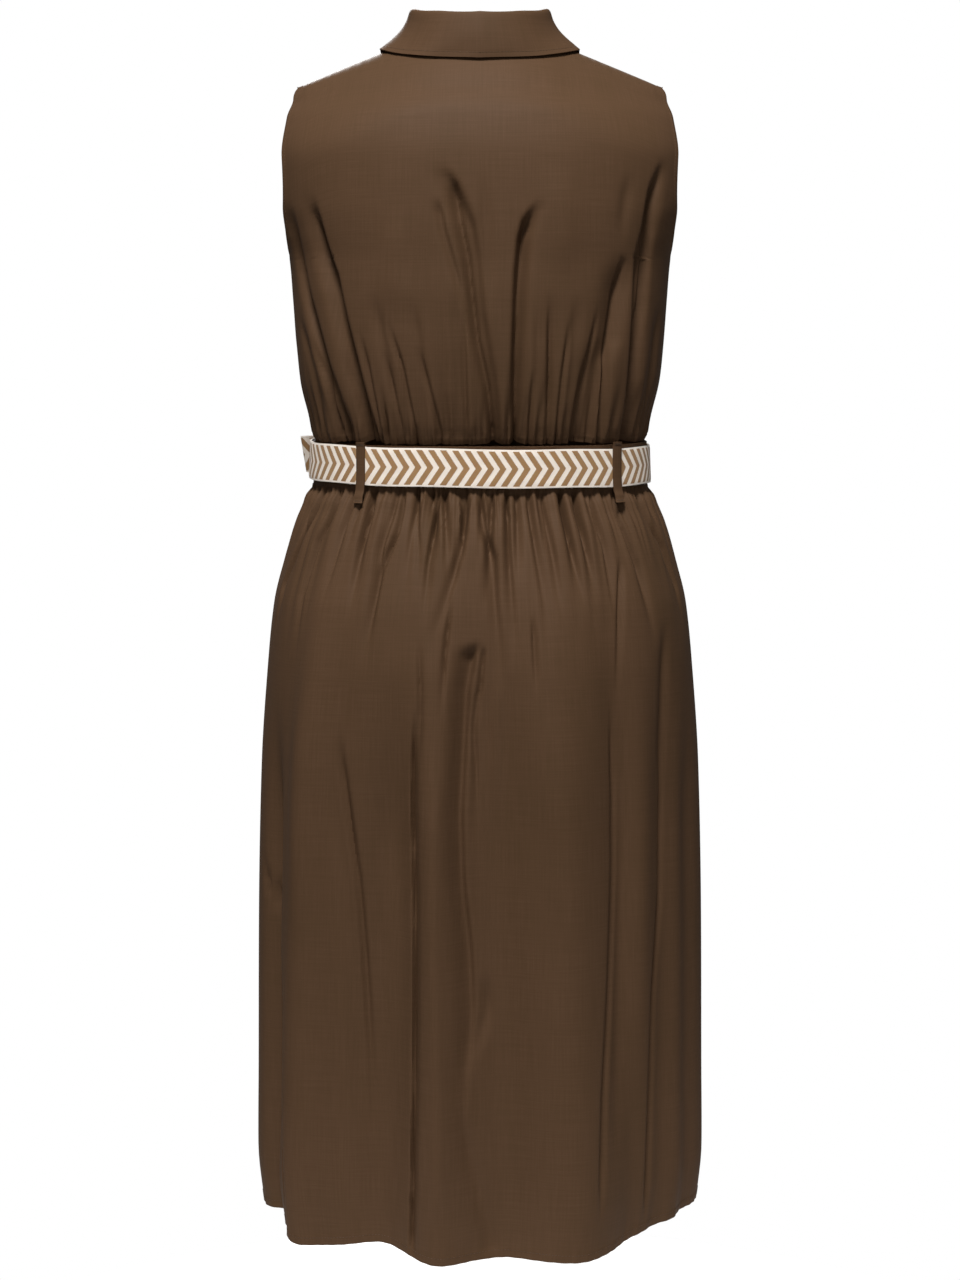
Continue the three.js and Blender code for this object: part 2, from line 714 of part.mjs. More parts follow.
// The bow sits on the belt at the wearer's left front, along the belt's tangent
function bowFrame() {
  const seat = beltPoint(bowAngle, beltCentre(bowAngle));
  const ahead = beltPoint(bowAngle + 2, beltCentre(bowAngle));
  const along = ahead.clone().sub(seat).setZ(0).normalize();
  const out = new THREE.Vector3(along.y, -along.x, 0);
  return { seat, along, out };
}

const knot = { halfLength: 15, halfDepth: 7, halfHeight: 20 };

function bowPlace(length, depth, height) {
  const { seat, along, out } = bowFrame();
  return seat.clone().addScaledVector(along, length).addScaledVector(out, depth).setZ(seat.z + height);
}

function beltKnot() {
  const { along, out } = bowFrame();
  const basis = new THREE.Matrix4().makeBasis(along, out.clone().negate(), new THREE.Vector3(0, 0, 1));
  const pole = new THREE.Matrix4().makeRotationX(Math.PI / 2);
  const upright = new THREE.SphereGeometry(1, 12, 8).applyMatrix4(pole);
  upright.scale(knot.halfLength, knot.halfDepth, knot.halfHeight);
  upright.applyMatrix4(basis);
  const centre = bowPlace(0, knot.halfDepth + layerGap, 0);
  upright.translate(centre.x, centre.y, centre.z);
  return piece("belt_knot", upright, tapeColour, 0.8);
}

// The bow's loop: the tape runs out, turns back on itself and returns to the knot
function bowLoop() {
  const length = 61;
  const width = 18;
  const steps = 24;
  const openAngle = 14;
  const line = (side) => {
    const points = [];
    for (let step = 0; step <= steps; step += 1) {
      const turn = radians(openAngle + ((360 - 2 * openAngle) * step) / steps);
      const share = (1 - Math.cos(turn)) / 2;
      const swell = (width / 2) * Math.sin(turn) * share ** 0.35;
      const halfTape = 10 + (tapeWidth / 2 - 10) * smooth(share * 3);
      const lean = 1 + 0.07 * side;
      const start = knot.halfLength - seamGap;
      const out = knot.halfDepth + layerGap + 1.5 + swell * 0.9;
      points.push(bowPlace(start + (length - start) * share * lean, out, side * halfTape));
    }
    return points;
  };
  const grid = [line(-1), line(0), line(1)];
  const geometry = wallGeometry(grid, { thickness: tapeWall, centred: true });
  return piece("belt_bow_loop", geometry, tapeColour, 0.8);
}

// A tail of the belt hangs from the knot over the skirt
function beltTail(name, drift, length, layer) {
  const rows = 12;
  const topHeight = beltCentre(bowAngle) - knot.halfHeight - layerGap + 0.1;
  const settle = -432;
  const grid = [];
  for (let row = 0; row <= rows; row += 1) {
    const fallen = (length * row) / rows;
    const height = topHeight - fallen;
    const halfWidth = 11 + (tapeWidth / 2 - 11) * smooth(fallen / 40);
    const centreAngle = bowAngle + (drift * fallen) / length;
    const line = [-1, 0, 1].map((side) => {
      const angle = centreAngle + (side * halfWidth) / 2.75;
      const hanging = skirtPoint(angle, Math.min(height, settle));
      hanging.addScaledVector(outward(angle), layer).setZ(height);
      const start = beltPoint(angle, height).addScaledVector(outward(angle), layer + 1.5);
      return start.lerp(hanging, smooth(fallen / 24));
    });
    grid.push(line);
  }
  const geometry = wallGeometry(grid.reverse(), { thickness: tapeWall, centred: true });
  return piece(name, geometry, tapeColour, 0.8);
}

// A button: a low disc with a raised rim, its back on the placket
function button(name, centre, facing) {
  const r = buttonRadius;
  const h = buttonHeight;
  const profile = [
    new THREE.Vector2(0, 0),
    new THREE.Vector2(r, 0),
    new THREE.Vector2(r, h),
    new THREE.Vector2(r - 1.4, h - 0.7),
    new THREE.Vector2(0, h - 0.7),
  ];
  const mesh = piece(name, new THREE.LatheGeometry(profile, 12), buttonColour, 0.4);
  mesh.quaternion.setFromUnitVectors(new THREE.Vector3(0, 1, 0), facing);
  mesh.position.copy(centre).addScaledVector(facing, seamGap);
  return mesh;
}

function buttons() {
  const names = (index) => `button_${String(index).padStart(2, "0")}`;
  const result = [];
  const standShare = (standButtonHeight + frontNeckDrop) / 27;
  const onStand = standPoint(270, standShare);
  onStand.y -= collarWall / 2 + 0.2;
  result.push(button(names(1), onStand, new THREE.Vector3(0, -1, 0.22).normalize()));
  const rows = [bodiceButtons, skirtButtons].flatMap(({ count, top, pitch }) =>
    Array.from({ length: count }, (_, index) => top - pitch * index),
  );
  rows.forEach((height, index) => {
    const { seat, facing } = placketSeat(height);
    result.push(button(names(index + 2), seat, facing));
  });
  return result;
}

function dress() {
  const group = new THREE.Group();
  group.add(...bodicePanels());
  group.add(...skirtPanels());
  group.add(waistCasing());
  group.add(collarStand());
  group.add(collarFall());
  group.add(buttonPlacket());
  group.add(beltBand());
  group.add(beltCarrier("belt_carrier_left", 110));
  group.add(beltCarrier("belt_carrier_right", -127));
  group.add(beltKnot());
  group.add(bowLoop());
  group.add(beltTail("belt_tail_upper", 7, 250, 6.6));
  group.add(beltTail("belt_tail_lower", -7, 290, 4.2));
  group.add(...buttons());
  return group;
}

export default dress();
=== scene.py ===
"""The looks of a sleeveless shirt dress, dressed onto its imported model.

The cloth is a piece-dyed viscose satin, the belt a woven chevron tape, the buttons cast resin.
Sizes are in millimetres until a mesh is made, and in metres from there on. The front faces -Y and
the wearer's left is +X. Angles run round the dress in degrees: 0 left side, 90 centre back,
180 right side, -90 centre front.
"""

import logging
import math
from dataclasses import dataclass, field, replace
from enum import Enum

import bpy
import numpy as np
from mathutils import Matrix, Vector


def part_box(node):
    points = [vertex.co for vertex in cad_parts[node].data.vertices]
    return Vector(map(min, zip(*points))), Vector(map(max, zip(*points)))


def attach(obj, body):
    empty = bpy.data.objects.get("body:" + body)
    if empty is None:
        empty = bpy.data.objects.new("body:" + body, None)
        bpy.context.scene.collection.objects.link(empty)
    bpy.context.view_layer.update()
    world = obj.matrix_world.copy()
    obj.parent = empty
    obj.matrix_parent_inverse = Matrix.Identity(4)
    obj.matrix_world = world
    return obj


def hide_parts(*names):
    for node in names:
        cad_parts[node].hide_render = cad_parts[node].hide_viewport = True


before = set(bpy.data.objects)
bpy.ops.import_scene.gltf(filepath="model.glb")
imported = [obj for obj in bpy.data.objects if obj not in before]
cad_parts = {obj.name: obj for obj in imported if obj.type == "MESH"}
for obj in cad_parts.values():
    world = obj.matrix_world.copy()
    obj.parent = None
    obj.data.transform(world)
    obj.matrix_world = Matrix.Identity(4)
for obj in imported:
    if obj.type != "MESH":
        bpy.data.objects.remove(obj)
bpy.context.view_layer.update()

Array = np.ndarray
Socket = bpy.types.NodeSocket
LOG = logging.getLogger("shirt_dress")
MM = 0.001
ROUNDNESS = 2.3
SEAM_GAP = 0.004

# Level sections of the bodice: height, half width, depth to the back, depth to the front
BODICE = np.array(
    [
        (-371, 159.5, 113, 110),
        (-364, 161.5, 115.5, 112.5),
        (-351, 163.5, 119, 116),
        (-313, 172, 124, 122),
        (-275, 175.5, 126, 129),
        (-237, 178, 126, 134),
        (-199, 181, 124, 135),
        (-175, 187.5, 123, 129),
        (-150, 194, 121, 120),
        (-105, 196.5, 115, 94),
        (-68, 187.5, 103, 72),
        (-40, 174, 86, 60),
        (30, 174, 62, 46),
    ]
)

# Level sections of the skirt in the same order, hem first
SKIRT = np.array(
    [
        (-1129, 212, 167, 155),
        (-1060, 219, 169, 156),
        (-983, 218, 170, 155),
        (-821, 216, 169, 151),
        (-682, 212, 167, 146),
        (-585, 205, 163, 140),
        (-525, 198.5, 154, 134),
        (-486, 189, 143, 129),
        (-448, 178, 131, 122),
        (-428, 169, 122, 116),
        (-416.3, 162, 115, 112),
    ]
)

# How far the hem lifts above its lowest height: angle, lift
HEM = np.array(
    [
        (-180, 20),
        (-140, 10),
        (-90, 6),
        (-30, 7),
        (0, 15),
        (18, 15),
        (37, 1),
        (66, 9),
        (83, 0),
        (112, 0),
        (140, 11),
        (180, 20),
    ]
)

# Collar by angle: the stand's lean and rise, the fall's bulge, and where the fall's edge lies
COLLAR = np.array(
    [
        (-90, 6, 27, 3, 42, -106),
        (-75, 7, 28, 3, 58, -88),
        (-60, 9, 29, 2, 72, -66),
        (-30, 12, 30, -1, 89, -31),
        (0, 14, 29.5, -5.5, 91.5, -6),
        (30, 11, 30, -3.5, 79, -10),
        (60, 7, 34.3, 0, 47, -15),
        (90, 5, 37, 2, 0, -17),
    ]
)


def smooth(value: Array) -> Array:
    """Rises from 0 to 1 with level ends: 3 t squared less 2 t cubed."""
    t = np.clip(value, 0, 1)
    return t * t * (3 - 2 * t)


def cubic(t: Array, start: Array, end: Array, start_slope: Array, end_slope: Array) -> Array:
    """A cubic from start to end with the given slopes, at shares t of the way."""
    first = start * (2 * t**3 - 3 * t**2 + 1) + start_slope * (t**3 - 2 * t**2 + t)
    return first + end * (3 * t**2 - 2 * t**3) + end_slope * (t**3 - t**2)


def table_value(rows: Array, column: int, at: Array) -> Array:
    """Reads a table between its rows as a cubic that never overshoots.

    Args:
        rows: The table, its first column rising.
        column: The column to read.
        at: Where to read it.

    Returns:
        The values, held at the table's ends. Each inner slope is the harmonic mean of its neighbours'.
    """
    places, values = rows[:, 0], rows[:, column]
    rises = np.diff(values) / np.diff(places)
    product, total = rises[:-1] * rises[1:], rises[:-1] + rises[1:]
    inner = np.where(product > 0, 2 * product / np.where(total == 0, 1, total), 0)
    slopes = np.concatenate([rises[:1], inner, rises[-1:]])
    at = np.clip(at, places[0], places[-1])
    index = np.clip(np.searchsorted(places, at, side="right") - 1, 0, len(places) - 2)
    step = (places[1:] - places[:-1])[index]
    t = (at - places[index]) / step
    return cubic(t, values[index], values[index + 1], step * slopes[index], step * slopes[index + 1])


def signed_power(value: Array) -> Array:
    """The superellipse's power of a sine or cosine, with its sign kept."""
    return np.sign(value) * np.abs(value) ** (2 / ROUNDNESS)


def unit(vectors: Array) -> Array:
    """Vectors of length 1 in the same directions."""
    return vectors / np.maximum(np.linalg.norm(vectors, axis=-1, keepdims=True), 1e-9)


def joined(x: Array, y: Array, z: Array) -> Array:
    """Points from their three coordinates, spread to one common shape."""
    return np.stack(np.broadcast_arrays(x, y, z), axis=-1).astype(float)


def bell(off: Array, width: float) -> Array:
    """A bell 1 high: e to the power of minus the square of off over width."""
    return np.exp(-((off / width) ** 2))


def oval(share: Array) -> Array:
    """What a superellipse keeps of its depth at a share of its half width."""
    return (1 - share**ROUNDNESS) ** (1 / ROUNDNESS)


def grid_normals(points: Array, wrap: bool = False) -> Array:
    """Directions out of a grid: its step along the columns crossed with its step up the rows.

    Args:
        points: Rows by columns of places.
        wrap: Whether the last column meets the first.

    Returns:
        Unit normals on the same grid.
    """
    if wrap:
        along = np.roll(points, -1, axis=1) - np.roll(points, 1, axis=1)
    else:
        along = np.gradient(points, axis=1)
    return unit(np.cross(along, np.gradient(points, axis=0)))


def arc_lengths(points: Array, axis: int) -> Array:
    """Distance from the grid's first line to each place, measured along the cloth.

    Args:
        points: Rows by columns of places.
        axis: 0 to measure up the rows, 1 along the columns.

    Returns:
        Distances in millimetres.
    """
    steps = np.linalg.norm(np.diff(points, axis=axis), axis=-1)
    start = np.zeros_like(np.take(steps, [0], axis=axis))
    return np.concatenate([start, np.cumsum(steps, axis=axis)], axis=axis)


def along_line(arc: Array, values: Array, at: Array) -> Array:
    """A line's values, one row to a point, read at distances along it."""
    return np.stack([np.interp(at, arc, values[:, k]) for k in range(3)], axis=-1)


def hermite(control: Array, count: int) -> Array:
    """A finer run of lines through control lines, as cubics whose slopes are the central differences.

    Args:
        control: Control lines, one to a row.
        count: How many lines are wanted.

    Returns:
        The finer run.
    """
    last = len(control) - 1
    place = np.linspace(0, last, count)
    index = np.minimum(place.astype(int), last - 1)
    t = (place - index).reshape((-1,) + (1,) * (control.ndim - 1))
    slope = np.gradient(control, axis=0)
    return cubic(t, control[index], control[index + 1], slope[index], slope[index + 1])


def refined(control: Array, rows: int, columns: int) -> Array:
    """A finer grid through a control grid, cubic up its rows and then across its columns."""
    return hermite(hermite(control, rows).swapaxes(0, 1), columns).swapaxes(0, 1)


@dataclass(frozen=True)
class DressForm:
    """The smooth form under every crease, the same as the solids' own."""

    waist_half: float = 160.0
    waist_back: float = 113.5
    waist_front: float = 110.5
    bodice_bottom: float = -371.0
    skirt_top: float = -416.3
    hem_height: float = -1129.0
    underarm: float = -200.0
    shoulder_tip: float = -38.0
    neck_half: float = 78.0
    shoulder_half: float = 174.0
    shoulder_round: float = 80.0
    neck_crown: float = 20.0
    back_drop: float = 15.0
    front_drop: float = 75.0
    armhole: float = 22.0

    def armhole_inset(self, height: Array) -> Array:
        """Degrees that the armhole cuts in from the side: the root of a half sine over its height."""
        t = np.clip((height - self.underarm) / (self.shoulder_tip - self.underarm), 0, 1)
        return self.armhole * np.sqrt(np.clip(np.sin(np.pi * t), 0, None))

    def ridge(self, across: Array) -> Array:
        """Height of the shoulder's ridge: straight down to the tip, a crown over the neck.

        Args:
            across: Place across, in millimetres.

        Returns:
            Heights.
        """
        far = np.abs(across)
        crown = self.neck_crown * (1 - (far / self.neck_half) ** 2)
        slope = self.shoulder_tip * (far - self.neck_half) / (self.shoulder_half - self.neck_half)
        return np.where(far < self.neck_half, crown, slope)

    def neck_height(self, across: Array, side: Array) -> Array:
        """Height of the neckline: a parabola that drops further in front."""
        drop = np.where(np.asarray(side) > 0, self.back_drop, self.front_drop)
        return -drop * (1 - (across / self.neck_half) ** 2)

    def bodice_depth(self, across: Array, height: Array, side: Array) -> Array:
        """Depth of the bodice, closing to the shoulder's ridge as a quarter circle.

        Args:
            across: Place across, in millimetres.
            height: Height.
            side: Above 0 for the back, below 0 for the front.

        Returns:
            The signed depth.
        """
        reach = np.minimum(1, np.abs(across) / table_value(BODICE, 1, height))
        back, front = table_value(BODICE, 2, height), table_value(BODICE, 3, height)
        depth = np.where(np.asarray(side) > 0, back, -front)
        below = np.clip((self.ridge(across) - height) / self.shoulder_round, 0, 1)
        closing = np.sqrt(1 - (1 - below) ** 2)
        return depth * oval(reach) * closing

    def bodice(self, angle: Array, height: Array, side: int) -> Array:
        """Places on the bodice by angle and height."""
        across = table_value(BODICE, 1, height) * signed_power(np.cos(np.radians(angle)))
        return joined(across, self.bodice_depth(across, height, side), height)

    def skirt(self, angle: Array, height: Array) -> Array:
        """Places on the skirt by angle and height, a superellipse at each level.

        Args:
            angle: Angle round the dress, in degrees.
            height: Height.

        Returns:
            Places.
        """
        sine, cosine = np.sin(np.radians(angle)), np.cos(np.radians(angle))
        back, front = table_value(SKIRT, 2, height), table_value(SKIRT, 3, height)
        across = table_value(SKIRT, 1, height) * signed_power(cosine)
        return joined(across, np.where(sine >= 0, back, front) * signed_power(sine), height)

    def waist(self, angle: Array, height: Array, growth: Array) -> Array:
        """Places on the level ring at the waist, grown outward.

        Args:
            angle: Angle round the dress, in degrees.
            height: Height.
            growth: Millimetres grown outward.

        Returns:
            Places.
        """
        sine, cosine = np.sin(np.radians(angle)), np.cos(np.radians(angle))
        depth = np.where(sine >= 0, self.waist_back, self.waist_front) + growth
        return joined((self.waist_half + growth) * signed_power(cosine), depth * signed_power(sine), height)

    def bodice_top(self, angle: Array, side: int) -> Array:
        """Height at which a bodice column ends, on the neckline or on the ridge.

        Args:
            angle: Angle round the dress, in degrees.
            side: Above 0 for the back, below 0 for the front.

        Returns:
            Heights.
        """
        across = self.shoulder_half * signed_power(np.cos(np.radians(angle)))
        on_neck = np.abs(across) < self.neck_half - 0.01
        return np.where(on_neck, self.neck_height(across, side), self.ridge(across))

    def hem(self, angle: Array) -> Array:
        """Height of the hem by angle."""
        return self.hem_height + table_value(HEM, 1, angle)

    def stand(self, angle: Array, share: Array) -> Array:
        """Places on the collar stand: the neckline moved inward, leaning and rising with the share.

        Args:
            angle: Angle round the neck, from -100 where the under end starts to 280.
            share: 0 at the foot to 1 at the fold.

        Returns:
            Places on the middle of its cloth.
        """
        turned = np.radians(angle)
        side = np.where(np.sin(turned) >= 0, 1, -1)
        across = self.neck_half * np.cos(turned)
        height = self.neck_height(across, side)
        neck = joined(across, self.bodice_depth(across, height, side), 0 * across)
        tuck = 2.4 * (1 - smooth((angle + 100) / 30))
        inset = 3.3 + tuck + collar_value(angle, 1) * share
        level = height - 2.5 + (collar_value(angle, 2) + 2.5) * share
        place = neck - unit(neck) * inset[..., None]
        place[..., 2] = level
        return place

    def skirt_seam(self, angle: Array) -> Array:
        """Height of the seam between casing and skirt: highest at centre back and front.

        The belt covers it at centre back alone.
        """
        return self.skirt_top + 4.5 + 3.8 * smooth((np.abs(np.sin(np.radians(angle))) - 0.4) / 0.6)

    def belt_centre(self, angle: Array) -> Array:
        """Height of the belt's middle: it dips at the back and tilts to one side."""
        return -389.8 - 1.4 * np.sin(np.radians(angle)) + 1.9 * np.cos(np.radians(angle))

    def belt(self, angle: Array, height: Array) -> Array:
        """Places on the belt's outer face, flared a little and proud where it crosses the placket."""
        proud = 3.5 + 3.4 * smooth(-np.sin(np.radians(angle)))
        return self.waist(angle, height, proud + 1.4 * (self.belt_centre(angle) - height) / 35.5)


def collar_value(angle: Array, column: int) -> Array:
    """The collar's table, which holds one half, read at any angle."""
    folded = np.where(angle > 90, 180 - angle, angle)
    return table_value(COLLAR, column, np.maximum(-90, folded))


FORM = DressForm()


@dataclass(frozen=True)
class Fold:
    """A soft trough along a path on the cloth, or a ridge where its depth is negative.

    The path runs downward as (place, height), and place is an angle or millimetres across.
    """

    path: tuple[tuple[float, float], ...]
    width: float
    depth: float
    lean: float = 0.0
    fade: tuple[float, float] = (0.3, 0.25)
    spread: float = 0.0

    def cut(self, place: Array, height: Array, stretch: Array) -> Array:
        """How deep the fold cuts: a bell across its path, sharper on the side it leans to.

        Args:
            place: Angle or millimetres across of each point.
            height: Height of each point.
            stretch: Millimetres of cloth to one unit of place.

        Returns:
            Depths in millimetres.
        """
        line = np.array(self.path[::-1], float)
        middle = np.interp(height, line[:, 1], line[:, 0])
        share = (line[-1, 1] - height) / (line[-1, 1] - line[0, 1])
        width = self.width * (1 + self.spread * np.clip(share, 0, 1))
        across = (place - middle) * stretch / width
        shape = bell(across, 1 + self.lean * np.tanh(1.5 * across))
        return self.depth * shape * smooth(share / self.fade[0]) * smooth((1 - share) / self.fade[1])


@dataclass(frozen=True)
class Gathers:
    """Many small uneven folds that start at a seam and fan out from it."""

    count: int
    depth: float
    width: float
    shortest: float
    longest: float
    seed: int
    held: float = 0.5
    widening: float = 110.0
    easing: float = 12.0

    def cut(self, along: Array, away: Array, span: float) -> Array:
        """How deep the gathers cut: a sum of narrow bells that widen and fade away from the seam.

        Args:
            along: Millimetres along the seam.
            away: Millimetres from the seam.
            span: The seam's length.

        Returns:
            Depths in millimetres.
        """
        draw = np.random.default_rng(self.seed)
        spacing = span / self.count
        total = np.zeros_like(along)
        for index in range(self.count):
            middle = (index + 0.5 + draw.uniform(-0.42, 0.42)) * spacing
            reach = self.shortest + (self.longest - self.shortest) * draw.uniform(0, 1) ** 1.5
            width = self.width * draw.uniform(0.7, 1.5) * (1 + away / self.widening)
            drift = draw.normal(0, 0.02)
            depth = self.depth * draw.uniform(0.35, 1.0) * (0.6 + 0.4 * reach / self.longest)
            eased = self.held + (1 - self.held) * smooth(away / self.easing)
            fade = np.clip(1 - away / reach, 0, 1) ** 1.1 * eased
            total += depth * fade * bell(along - middle - drift * away, width)
        return total


def linear(code: str) -> tuple[float, float, float, float]:
    """A colour written as sRGB hex, in the linear values that Blender's sockets take.

    Args:
        code: The colour, as a hash and six digits.

    Returns:
        Red, green, blue and 1.
    """
    parts = [int(code[i : i + 2], 16) / 255 for i in (1, 3, 5)]
    red, green, blue = (c / 12.92 if c <= 0.04045 else ((c + 0.055) / 1.055) ** 2.4 for c in parts)
    return red, green, blue, 1.0


def add_node(tree: bpy.types.NodeTree, kind: str, sockets: dict | None = None, **settings) -> bpy.types.Node:
    """Adds a node with its settings and links.

    Args:
        tree: The node tree.
        kind: The node's type.
        sockets: Values or other nodes' output sockets, by input name or number.
        settings: The node's own properties.

    Returns:
        The new node.
    """
    node = tree.nodes.new(kind)
    for name, value in settings.items():
        setattr(node, name, value)
    for name, value in (sockets or {}).items():
        if isinstance(value, Socket):
            tree.links.new(value, node.inputs[name])
        else:
            node.inputs[name].default_value = value
    return node


def calculate(tree: bpy.types.NodeTree, operation: str, *values: float | Socket) -> Socket:
    """Adds a math node over the values and returns its result."""
    return add_node(tree, "ShaderNodeMath", dict(enumerate(values)), operation=operation).outputs[0]


def noise(
    tree: bpy.types.NodeTree, place: Socket, scale: float, detail: float, **more: float
) -> bpy.types.Node:
    """Adds a noise over a place; more gives its other sockets.

    Args:
        tree: The node tree.
        place: The coordinates that it reads.
        scale: How many grains to a unit.
        detail: How many finer layers.
        more: Values of its other sockets.

    Returns:
        The noise node.
    """
    named = {name.title(): value for name, value in more.items()}
    sockets = {"Vector": place, "Scale": scale, "Detail": detail, **named}
    return add_node(tree, "ShaderNodeTexNoise", sockets)


def toned(tree: bpy.types.NodeTree, value: Socket, stops: tuple[tuple[float, str], ...]) -> Socket:
    """Adds a colour ramp with its stops and returns its colour.

    Args:
        tree: The node tree.
        value: The value to tone.
        stops: Places on the ramp and their colours, in order.

    Returns:
        The ramp's colour.
    """
    node = add_node(tree, "ShaderNodeValToRGB", {"Fac": value})
    ramp = node.color_ramp
    while len(ramp.elements) < len(stops):
        ramp.elements.new(1.0)
    for element, (place, code) in zip(ramp.elements, stops):
        element.position = place
        element.color = linear(code)
    return node.outputs["Color"]


def new_material(name: str) -> tuple[bpy.types.Material, bpy.types.NodeTree]:
    """An empty node material and its tree.

    Args:
        name: Its name.

    Returns:
        The material and its node tree.
    """
    material = bpy.data.materials.new(name)
    material.use_nodes = True
    material.node_tree.nodes.clear()
    return material, material.node_tree


def finished(material: bpy.types.Material, sockets: dict) -> bpy.types.Material:
    """Ends a material with its shader, whose sockets are given by name.

    Args:
        material: The material.
        sockets: Values or links, by socket name.

    Returns:
        The same material.
    """
    shader = add_node(material.node_tree, "ShaderNodeBsdfPrincipled", sockets)
    add_node(material.node_tree, "ShaderNodeOutputMaterial", {"Surface": shader.outputs[0]})
    return material


@dataclass(frozen=True)
class ViscoseSatin:
    """Piece-dyed viscose satin with a dry linen hand.

    Woven from slubby filament, so thin streaks run both ways; the satin face gives a broad soft shine.
    Real threads are 0.3 mm apart; the slubs show at 1 to 2 mm, so the weave is drawn that coarse.
    """

    dark: str = "#4d3a27"
    middle: str = "#543e2c"
    light: str = "#5b4432"
    roughness: float = 0.6
    slub_width: float = 1.3
    slub_length: float = 46.0
    thread: float = 0.7
    cloud_scale: tuple[float, float, float] = (9, 4, 1)
    cloud: float = 0.9
    contrast: float = 0.345
    grain: float = 0.5
    specular: float = 0.07
    bump: float = 0.12
    bump_height: float = 0.0004

    def material(self) -> bpy.types.Material:
        """The cloth's material, on the cloth's own flat UV map in metres.

        Returns:
            The material.
        """
        material, tree = new_material("brown_viscose_satin")
        flat = add_node(tree, "ShaderNodeTexCoord").outputs["UV"]
        streak, grain, run = 1000 / self.slub_width, 1000 / self.thread, 1000 / self.slub_length
        scales = {
            "warp": (streak, run, 1),
            "weft": (run, streak, 1),
            "cloud": self.cloud_scale,
            "grain": (grain, grain, 1),
        }
        noises = {}
        for name, scale in scales.items():
            placed = add_node(tree, "ShaderNodeMapping", {"Vector": flat, "Scale": scale})
            noises[name] = noise(tree, placed.outputs[0], 1.0, 2.0, roughness=0.55).outputs[0]
        crossed = calculate(tree, "ADD", noises["warp"], noises["weft"])
        clouded = calculate(tree, "MULTIPLY_ADD", noises["cloud"], self.cloud, crossed)
        tone = calculate(tree, "MULTIPLY", clouded, self.contrast)
        colour = toned(tree, tone, ((0.28, self.dark), (0.5, self.middle), (0.72, self.light)))
        woven = calculate(tree, "MULTIPLY_ADD", noises["grain"], self.grain, crossed)
        relief = {"Height": woven, "Strength": self.bump, "Distance": self.bump_height}
        sockets = {
            "Base Color": colour,
            "Roughness": self.roughness,
            "Specular IOR Level": self.specular,
            "Sheen Weight": 0.01,
            "Sheen Roughness": 0.4,
            "Sheen Tint": linear("#b08d6c"),
            "Normal": add_node(tree, "ShaderNodeBump", relief).outputs[0],
        }
        return finished(material, sockets)


@dataclass(frozen=True)
class ChevronTape:
    """Woven cotton and viscose tape with a chevron in two yarns.

    Its lengthwise cords lie 1 mm apart, so the chevron's edges step from cord to cord, and the
    undyed yarn shows alone along both selvedges.
    """

    brown: str = "#a68057"
    cream: str = "#fdf1e4"
    pitch: float = 11.2
    brown_share: float = 0.52
    slant: float = 0.67
    cord: float = 1.0
    selvedge: float = 15.6
    fray: float = 0.0007
    fleck: float = 0.22
    ridge: float = 0.7

    def material(self) -> bpy.types.Material:
        """The tape's material: the brown share of (along + slant times the distance off its middle).

        Returns:
            The material.
        """
        material, tree = new_material("woven_chevron_tape")
        flat = add_node(tree, "ShaderNodeTexCoord").outputs["UV"]
        split = add_node(tree, "ShaderNodeSeparateXYZ", {0: flat})
        along, across = split.outputs[0], split.outputs[1]
        cord = self.cord * MM
        middle = calculate(tree, "ADD", calculate(tree, "SNAP", across, cord), cord / 2)
        off = calculate(tree, "ABSOLUTE", middle)
        slanted = calculate(tree, "MULTIPLY_ADD", off, self.slant, along)
        yarn = noise(tree, flat, 900.0, 1.0)
        frayed = calculate(tree, "MULTIPLY_ADD", yarn.outputs[0], self.fray, slanted)
        phase = calculate(tree, "FRACT", calculate(tree, "MULTIPLY", frayed, 1 / (self.pitch * MM)))
        barred = calculate(tree, "LESS_THAN", phase, self.brown_share)
        inside = calculate(tree, "LESS_THAN", off, self.selvedge * MM)
        brown = calculate(tree, "MULTIPLY", barred, inside)
        yarns = {0: brown, 6: linear(self.cream), 7: linear(self.brown)}
        colour = add_node(tree, "ShaderNodeMix", yarns, data_type="RGBA").outputs[2]
        fleck = {0: self.fleck, 6: colour, 7: yarn.outputs[1]}
        speckled = add_node(tree, "ShaderNodeMix", fleck, data_type="RGBA", blend_type="SOFT_LIGHT")
        ribbed = calculate(tree, "COSINE", calculate(tree, "MULTIPLY", across, 2 * math.pi / cord))
        raised = calculate(tree, "MULTIPLY_ADD", brown, self.ridge, ribbed)
        rough = calculate(tree, "MULTIPLY_ADD", yarn.outputs[0], 1.2, raised)
        bump = add_node(tree, "ShaderNodeBump", {"Height": rough, "Strength": 0.5, "Distance": 0.0003})
        sockets = {
            "Base Color": speckled.outputs[2],
            "Roughness": 0.86,
            "Specular IOR Level": 0.25,
            "Sheen Weight": 0.15,
            "Normal": bump.outputs[0],
        }
        return finished(material, sockets)


@dataclass(frozen=True)
class CastResin:
    """Cast polyester resin, tumbled to a soft gloss, with the cloudy grain of imitation horn."""

    dark: str = "#2f221a"
    light: str = "#5b4431"
    grain: float = 3.0

    def material(self) -> bpy.types.Material:
        """The buttons' material, on Object coordinates.

        Returns:
            The material.
        """
        material, tree = new_material("cast_resin_button")
        place = add_node(tree, "ShaderNodeTexCoord").outputs["Object"]
        cloudy = noise(tree, place, 1000 / self.grain, 3.0, distortion=0.8).outputs[0]
        colour = toned(tree, cloudy, ((0.35, self.dark), (0.66, self.light)))
        gloss = {"Roughness": 0.3, "IOR": 1.55, "Coat Weight": 0.2, "Coat Roughness": 0.2}
        return finished(material, {"Base Color": colour, **gloss})


